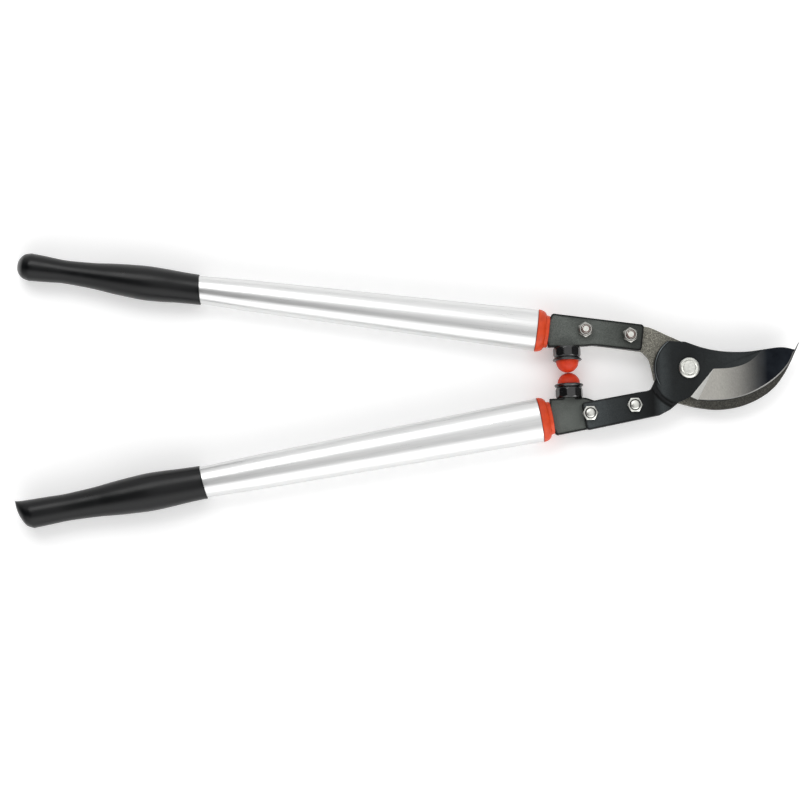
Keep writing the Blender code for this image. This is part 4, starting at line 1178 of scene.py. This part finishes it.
def is_rim(edge):
    """Whether the edge lies between a wall and an upper face."""
    tilts = sorted(abs(face.normal.z) for face in edge.link_faces)
    return len(tilts) == 2 and tilts[0] < WALL_TILT and tilts[1] > FACE_TILT


def blade(materials):
    low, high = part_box("cutting_blade")
    bm = blade_surface(high.x, low.z, high.z)
    mesh = finish_mesh("cutting_blade_skin", bm)
    for material in materials:
        mesh.materials.append(material)
    holes = [*bolt_holes("lower", BOLT_HOLE), (0.0, 0.0, PIVOT_HOLE)]
    made = worked("cutting_blade_fine", mesh, drills(holes, low.z, high.z), BLADE_SHARP)
    add_piece("bypass_blade", made, "cutting_blade", BODY["lower"], [])
    paint_dark_shade_on_rim(made, PAINTED_DARK_SHADE)


# --- bumpers -------------------------------------------------------------------------------

def bumper_frame(side):
    """Z runs along the bumper's axis to the centre line of the tool, where it is zero."""
    middle = middle_of(f"{side}_bumper_cup")
    turn = Matrix.Rotation(-INWARD[side] * math.pi / 2, 4, "X")
    return Matrix.Translation((middle.x, 0.0, middle.z)) @ turn


def bumper_cup(side, material):
    """A glossy barrel with soft flats, a flange round its lip and a lug slot in its base."""
    name = f"{side}_bumper_cup"
    low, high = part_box(name)
    depths = sorted((abs(low.y), abs(high.y)))
    lip, base = -depths[0], -depths[1]
    flange_radius = (high.x - low.x) / 2
    dome_low, dome_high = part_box(f"{side}_bumper_dome")
    bore = (dome_high.x - dome_low.x) / 2 + HOLE_SLACK
    flange = lip - CUP_FLANGE
    groove = flange - CUP_GROOVE
    rings = [cup_ring(base, flange_radius * CUP_BARREL[0][1] - CUP_FOOT_ROUND)]
    widths = [(base + share * (groove - base), width * flange_radius) for share, width in CUP_BARREL]
    barrel = curve(widths, 6)
    rings += [cup_ring(height, radius) for height, radius in barrel]
    neck = flange_radius * CUP_BARREL[-1][1]
    edge = [(groove, neck), (groove + CUP_GROOVE / 2, neck - CUP_GROOVE_DEPTH)]
    edge += [(flange + rise, flange_radius - inset) for rise, inset in CUP_FLANGE_FOOT]
    edge += [(lip + rise, flange_radius - inset) for rise, inset in CUP_FLANGE_LIP]
    edge += [(lip + rise, bore + flare) for rise, flare in CUP_MOUTH]
    edge += [(lip - CUP_BORE, bore)]
    rings += [turned_ring(z, r) for z, r in round_profile(edge, CUP_EDGE_ROUND)[1:]]
    mesh = loft(name, rings, bumper_frame(side), sharp_degrees=CUP_SHARP)
    strap_low, strap_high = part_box(f"{side}_strap")
    half = (strap_high.z - strap_low.z) / 2
    lug = (0.0, 0.0, 0.0, half, LUG_WIDTH / 2)
    turned = bumper_frame(side) @ Matrix.Rotation(-math.pi / 2, 4, "Y")
    slot = block((base - SLOT_OVER, lug, base + LUG_HEIGHT), turned)
    made = worked(name, mesh, [slot], CUP_SHARP)
    add_piece(f"{side}_stop_cup", made, name, BODY[side], [material])


def cup_ring(height, radius):
    """A circle cut by the cup's flats where it is wide enough to reach them."""
    return turned_ring(height, np.minimum(radius, faceted(CUP_SIDES, CUP_ACROSS_FLATS, CUP_TURN)))


def bumper_dome(side, material):
    """The elastomer button: a stub in the cup and a round head with a faint seam ring."""
    name = f"{side}_bumper_dome"
    low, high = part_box(name)
    stub, crown = sorted(INWARD[side] * y for y in (low.y, high.y))
    radius = (high.x - low.x) / 2
    centre = crown - radius
    rings = [turned_ring(stub, radius - STUB_CHAMFER), turned_ring(stub + STUB_CHAMFER, radius)]
    rings += [turned_ring(centre - drop, radius - inset) for drop, inset in DOME_SEAM]
    for degrees in range(DOME_TURN, 90, DOME_TURN):
        angle = math.radians(degrees)
        rings.append(turned_ring(centre + radius * math.sin(angle), radius * math.cos(angle)))
    mesh = loft(name, rings, bumper_frame(side))
    add_piece(f"{side}_stop_dome", mesh, name, BODY[side], [material])


# --- fasteners -----------------------------------------------------------------------------

def seated(x, y, z, up):
    """A fastener's frame at a point, with its Z up or, turned over, down."""
    place = Matrix.Translation((x, y, z))
    return place if up else place @ Matrix.Rotation(math.pi, 4, "X")


def hexagon_rings(low, high, across_flats, turn=0.0):
    """A hexagon's side from its low end up, with the corners of both ends cut to arcs."""
    start = across_flats / 2 * HEX_CONE
    radii = faceted(6, across_flats, turn)
    cut = (radii - start) * math.tan(HEX_SLOPE)
    sides = [turned_ring(low + cut, radii), turned_ring(high - cut, radii)]
    return [turned_ring(low, start), *sides, turned_ring(high, start)]


def thread_rings(start, end, radius, pitch):
    """A helical thread from start up to end, which fades out at both."""
    count = max(2, round((end - start) / (pitch / THREAD_STEPS)))
    rings = []
    for k in range(count + 1):
        height = start + (end - start) * k / count
        fade = min(1.0, k / THREAD_FADE, (count - k) / THREAD_FADE)
        wave = abs((height / pitch - ANGLES / math.tau) % 1.0 * 2 - 1)
        rings.append(turned_ring(height, radius - fade * THREAD_DEPTH * wave))
    return rings


def bolt_end(start, flat, radius, reach, pitch):
    """The flat end of a bolt, its chamfer and its thread."""
    rings = [turned_ring(start, flat), turned_ring(start + END_CHAMFER, radius - END_STEP)]
    return rings + thread_rings(start + THREAD_START, start + reach, radius, pitch)


def bolt(side, i, materials):
    """A hexagon bolt with a pearl-like dome in a groove on its head, and a threaded end."""
    name = f"{OWNER[side]}_bolt_{i}"
    low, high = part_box(name)
    x, y, _ = middle_of(name)
    up = side == "lower"
    seat = high.z - HEAD_HEIGHT if up else low.z + HEAD_HEIGHT
    end = HEAD_HEIGHT - (high.z - low.z)
    rim = HEAD_HEIGHT - HEAD_DOME_RISE
    rings = bolt_end(end, THREAD_END_RADIUS, BOLT_RADIUS, BOLT_THREAD, BOLT_PITCH)
    rings += [turned_ring(0.0, BOLT_RADIUS)]
    rings += hexagon_rings(0.0, rim, high.y - low.y)
    rings += [turned_ring(rim - GROOVE_LIP, HEAD_DOME_RADIUS + HEAD_GROOVE)]
    rings += [turned_ring(rim - GROOVE_DEPTH, HEAD_DOME_RADIUS + GROOVE_LIP)]
    for step in range(DOME_STEPS):
        angle = math.pi / 2 * step / DOME_STEPS
        height = rim - DOME_SINK + (HEAD_DOME_RISE + DOME_SINK) * math.sin(angle)
        rings.append(turned_ring(height, HEAD_DOME_RADIUS * math.cos(angle)))
    mesh = loft(name, rings, seated(x, y, seat, up), sharp_degrees=TURNED_SHARP)
    add_piece(f"{OWNER[side]}_hex_bolt_{i}", mesh, name, BODY[side], materials)
    for face in mesh.polygons:
        radius = (face.center.xy - Vector((x, y))).length
        past_seat = (face.center.z - seat) * (1 if up else -1)
        # The groove round the dome gets the painted dark shade.
        if HEAD_DOME_RADIUS < radius < HEAD_DOME_RADIUS + HEAD_GROOVE and past_seat > HEAD_HEIGHT / 2:
            face.material_index = 1
        if radius > THREAD_END_RADIUS and past_seat < end + END_CHAMFER:
            face.material_index = 2


def nut(name, body, up, bore, hex_height, turn, material):
    """A locking nut: a chamfered hexagon, then a rolled collar whose lip holds the nylon ring."""
    low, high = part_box(name)
    x, y, _ = middle_of(name)
    across, height = high.y - low.y, high.z - low.z
    collar = across / 2 - NUT_SHOULDER
    recess = bore + RING_WALL
    profile = [(hex_height + rise, collar - inset) for rise, inset in NUT_FOOT]
    profile += [(height + rise, collar - inset) for rise, inset in NUT_ROLL]
    profile += [(height + rise, recess + flare) for rise, flare in NUT_MOUTH]
    profile += [(height - RING_DEPTH, recess), (height - RING_DEPTH, bore)]
    rings = [turned_ring(BORE_CHAMFER[0], bore), turned_ring(0.0, bore + BORE_CHAMFER[1])]
    rings += hexagon_rings(0.0, hex_height, across, turn)
    rings += [turned_ring(z, r) for z, r in round_profile(profile, NUT_ROUND)]
    place = seated(x, y, low.z if up else high.z, up)
    mesh = loft(name, rings, place, closed="bore", sharp_degrees=TURNED_SHARP)
    add_piece(name.replace("nut", "lock_nut"), mesh, name, body, [material])


def nut_ring(name, body, up, material):
    """The nylon ring in a nut's collar, crowned where the thread squeezes it out."""
    low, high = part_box(name)
    x, y, _ = middle_of(name)
    height = high.z - low.z
    outside = (high.x - low.x) / 2
    inside = outside - RING_WALL + RING_EASE
    profile = [(0.0, outside)]
    profile += [(height * share, outside + (inside - outside) * inward) for share, inward in RING_CROWN]
    profile += [(0.0, inside)]
    rings = [turned_ring(z, r) for z, r in round_profile(profile, SOFT_ROUND)]
    mesh = loft(name, rings, seated(x, y, low.z if up else high.z, up), closed="bore")
    add_piece(name.replace("nut", "lock"), mesh, name, body, [material])


def pivot_bolt(material):
    """The keyed pivot bolt: a broad flat head with a notched ring round its middle."""
    low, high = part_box("pivot_bolt")
    seat, top = high.z - PIVOT_HEAD_HEIGHT, high.z
    head = (high.x - low.x) / 2
    hook_low, hook_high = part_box("hook_blade")
    rings = bolt_end(low.z, PIVOT_END_RADIUS, PIVOT_THREAD, PIVOT_THREAD_REACH, PIVOT_PITCH)
    rings += [turned_ring(hook_low.z, PIVOT_THREAD)]
    rings += [flatted_ring(z, PIVOT_RADIUS, PIVOT_THREAD) for z in (hook_low.z, hook_high.z)]
    rings += [turned_ring(hook_high.z + KEY_EASE, PIVOT_RADIUS), turned_ring(seat, PIVOT_RADIUS)]
    profile = [(seat, PIVOT_RADIUS + PIVOT_RIM_DROP)]
    profile += [(seat + rise, head - inset) for rise, inset in PIVOT_FOOT]
    profile += [(top - PIVOT_CHAMFER, head), (top - PIVOT_RIM_DROP, head - PIVOT_CHAMFER)]
    profile += [(top - PIVOT_RIM_DROP, NOTCH_OUTER + NOTCH_FLARE), (top - NOTCH_FLOOR, NOTCH_OUTER)]
    rings += [turned_ring(z, r) for z, r in round_profile(profile, PIVOT_ROUND)]
    rings += notched_rings(top - NOTCH_FLOOR)
    rings += [turned_ring(top - drop, NOTCH_INNER - inset) for drop, inset in PIVOT_MIDDLE]
    rings += [turned_ring(top, PIVOT_POLE)]
    mesh = loft("pivot_bolt", rings, Matrix.Identity(4), sharp_degrees=TURNED_SHARP)
    add_piece("pivot_bolt_body", mesh, "pivot_bolt", BODY["upper"], [material])


def flatted_ring(height, radius, flat):
    """A circle cut back to two flats."""
    ring = turned_ring(height, radius)
    ring[:, 1] = ring[:, 1].clip(-flat, flat)
    return ring


def notched_rings(height):
    """The ring of small raised bars on the pivot bolt's head."""
    raised = np.where(np.arange(ROUND) % NOTCH_EVERY, NOTCH_HEIGHT, 0.0)
    radii = (NOTCH_OUTER - NOTCH_EASE, NOTCH_INNER + NOTCH_EASE)
    return [turned_ring(height + raised, radius) for radius in radii]


def washer(material):
    low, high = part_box("pivot_washer")
    radius = (high.x - low.x) / 2
    bore = PIVOT_THREAD + HOLE_SLACK
    foot = [(low.z, bore + WASHER_EASE), (low.z, radius)]
    profile = [*foot, (high.z, radius), (high.z, bore), (low.z, bore)]
    rings = [turned_ring(z, r) for z, r in round_profile(profile, SOFT_ROUND)]
    mesh = loft("pivot_washer", rings, Matrix.Identity(4), closed="bore")
    add_piece("pivot_plain_washer", mesh, "pivot_washer", BODY["upper"], [material])


# --- studio --------------------------------------------------------------------------------

def camera():
    data = bpy.data.cameras.new("camera")
    data.lens = CAMERA_LENS
    data.sensor_width = 36.0
    data.clip_start = 0.01
    obj = bpy.data.objects.new("camera", data)
    bpy.context.scene.collection.objects.link(obj)
    back = (Vector(CAMERA_PLACE) - Vector(CAMERA_TARGET)).normalized()
    right = Vector(CAMERA_UP).cross(back).normalized()
    turn = Matrix((right, back.cross(right), back)).transposed().to_4x4()
    obj.matrix_world = Matrix.Translation(CAMERA_PLACE) @ turn
    bpy.context.scene.camera = obj


def floor():
    low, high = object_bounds()
    middle = (low + high) / 2
    bm = bmesh.new()
    bmesh.ops.create_grid(bm, x_segments=8, y_segments=8, size=FLOOR_SIZE / 2)
    bmesh.ops.translate(bm, verts=bm.verts, vec=(middle.x, middle.y, low.z - FLOOR_GAP))
    obj = bpy.data.objects.new("floor", finish_mesh("floor", bm))
    obj.data.materials.append(pale_floor())
    bpy.context.scene.collection.objects.link(obj)
    obj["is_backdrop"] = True


def softbox(name, place, size, power):
    """A large area light that looks at the middle of the tool."""
    data = bpy.data.lights.new(name, "AREA")
    data.shape = "RECTANGLE"
    data.size, data.size_y = size
    data.energy = power
    obj = bpy.data.objects.new(name, data)
    bpy.context.scene.collection.objects.link(obj)
    aim = Vector(CAMERA_TARGET) - Vector(place)
    obj.location = place
    obj.rotation_euler = aim.to_track_quat("-Z", "Y").to_euler()


def studio_world():
    """A white room whose brightness changes with the side that the light comes from."""
    world = bpy.data.worlds.new("studio")
    world.use_nodes = True
    tree = world.node_tree
    background = tree.nodes["Background"]
    coordinates = tree.nodes.new("ShaderNodeTexCoord")
    parts = tree.nodes.new("ShaderNodeSeparateXYZ")
    tree.links.new(coordinates.outputs["Generated"], parts.inputs["Vector"])
    angle = tree.nodes.new("ShaderNodeMath")
    angle.operation = "ARCTAN2"
    tree.links.new(parts.outputs["Y"], angle.inputs[0])
    tree.links.new(parts.outputs["Z"], angle.inputs[1])
    over = spread(tree, angle.outputs["Value"], 0.0, 1.0, -math.pi / 2, math.pi / 2)
    side = spread(tree, parts.outputs["X"], 0.0, 1.0, -1.0, 1.0)
    lights = []
    for lean, reach in ((LOW_LIGHTS, LOW_REACH), (CEILING, CEILING_REACH)):
        sides = [((math.sin(math.radians(degrees)) + 1) / 2, level) for degrees, level in reach]
        leans = [((degrees + 90) / 180, level) for degrees, level in lean]
        pair = ramp(tree, over, greys(leans)), ramp(tree, side, greys(sides))
        lights.append(blended(tree, 1.0, *pair, "MULTIPLY"))
    tree.links.new(blended(tree, 1.0, *lights, "ADD"), background.inputs["Color"])
    background.inputs["Strength"].default_value = ROOM_STRENGTH
    bpy.context.scene.world = world


def recolour_inserts():
    """The moulded inserts keep their solids' shape, because they lie hidden in the tubes."""
    inserts = nylon("natural_nylon", (0.42, 0.40, 0.35), (0.52, 0.50, 0.45))
    for side in BODY:
        for slot in nodes[f"{side}_insert"].material_slots:
            slot.material = inserts


def build():
    _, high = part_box("cutting_blade")
    dark, light = (0.060, 0.068, 0.062), (0.185, 0.200, 0.185)
    phosphated = coated_steel("phosphated_steel", dark, light, 0.52, 1500, [STRAP_PAINTED_SHADE])
    dark, light = (0.020, 0.024, 0.025), (0.050, 0.056, 0.058)
    # Painted light and shade along the blade, and painted shade down the joggle's bend.
    painted_shades = [BLADE_PAINTED_SHADE, ("Z", high.z - TANG_STEP, high.z, BEND_PAINTED_SHADE)]
    lacquered = coated_steel("lacquered_steel", dark, light, 0.42, 1700, painted_shades, with_painted_glint=True)
    # Near-black painted shade for rims, the edge line and the bolts' grooves.
    painted_dark_shade = painted_dark_shade_steel()
    plating = plated_steel("zinc_plating", (0.50, 0.495, 0.465), 0.22)
    # A darker copy of the zinc plating: painted shade on the nuts.
    nut_painted_shade_plating = plated_steel("nut_painted_shade_plating", (0.45, 0.445, 0.42), 0.20)
    pearl = plated_steel("satin_plating", (0.74, 0.745, 0.70), 0.33)
    rubber = black_rubber()
    glossy = gloss_plastic()
    red_shell = red_plastic("red_shell", (0.56, 0.046, 0.010), (0.72, 0.075, 0.018), 0.40)
    red_deep = red_plastic("red_deep", (0.24, 0.010, 0.006), (0.34, 0.016, 0.008), 0.42)
    red_soft = red_plastic("red_soft", (0.54, 0.030, 0.006), (0.70, 0.050, 0.011), 0.46)
    locking = nylon("locking_nylon", (0.060, 0.009, 0.005), (0.11, 0.018, 0.010))
    bore = BOLT_RADIUS + BOLT_SLACK
    for side, body in BODY.items():
        tube(side)
        grip(side, rubber)
        collar(side, [red_shell, red_deep])
        strap(side, [phosphated, painted_dark_shade])
        bumper_cup(side, glossy)
        bumper_dome(side, red_soft)
        owner, up = OWNER[side], side == "upper"
        for i in (1, 2):
            bolt(side, i, [pearl, painted_dark_shade, locking])
            nut(f"{owner}_nut_{i}", body, up, bore, NUT_HEX, NUT_TURN, nut_painted_shade_plating)
            nut_ring(f"{owner}_nut_ring_{i}", body, up, locking)
    hook(forged_steel())
    ground = ground_steel("ground_steel", high.x, (0.39, 0.38, 0.35), (0.54, 0.525, 0.485))
    # A brighter copy of the ground steel: painted highlight on the plunge facet.
    plunge = ground_steel("plunge_painted_highlight", high.x, (0.60, 0.60, 0.57), (0.82, 0.82, 0.79))
    blade([lacquered, ground, honed_steel(), painted_dark_shade, plunge])
    pivot_bolt(pearl)
    washer(plating)
    nut("pivot_nut", BODY["upper"], False, PIVOT_THREAD + BOLT_SLACK, PIVOT_NUT_HEX, 0.0, plating)
    nut_ring("pivot_nut_ring", BODY["upper"], False, locking)
    recolour_inserts()


HANDLES = {side: handle_frame(side) for side in BODY}
camera()
build()
floor()
studio_world()
for light in SOFTBOXES:
    softbox(*light)
bpy.context.scene.view_settings.view_transform = "Standard"
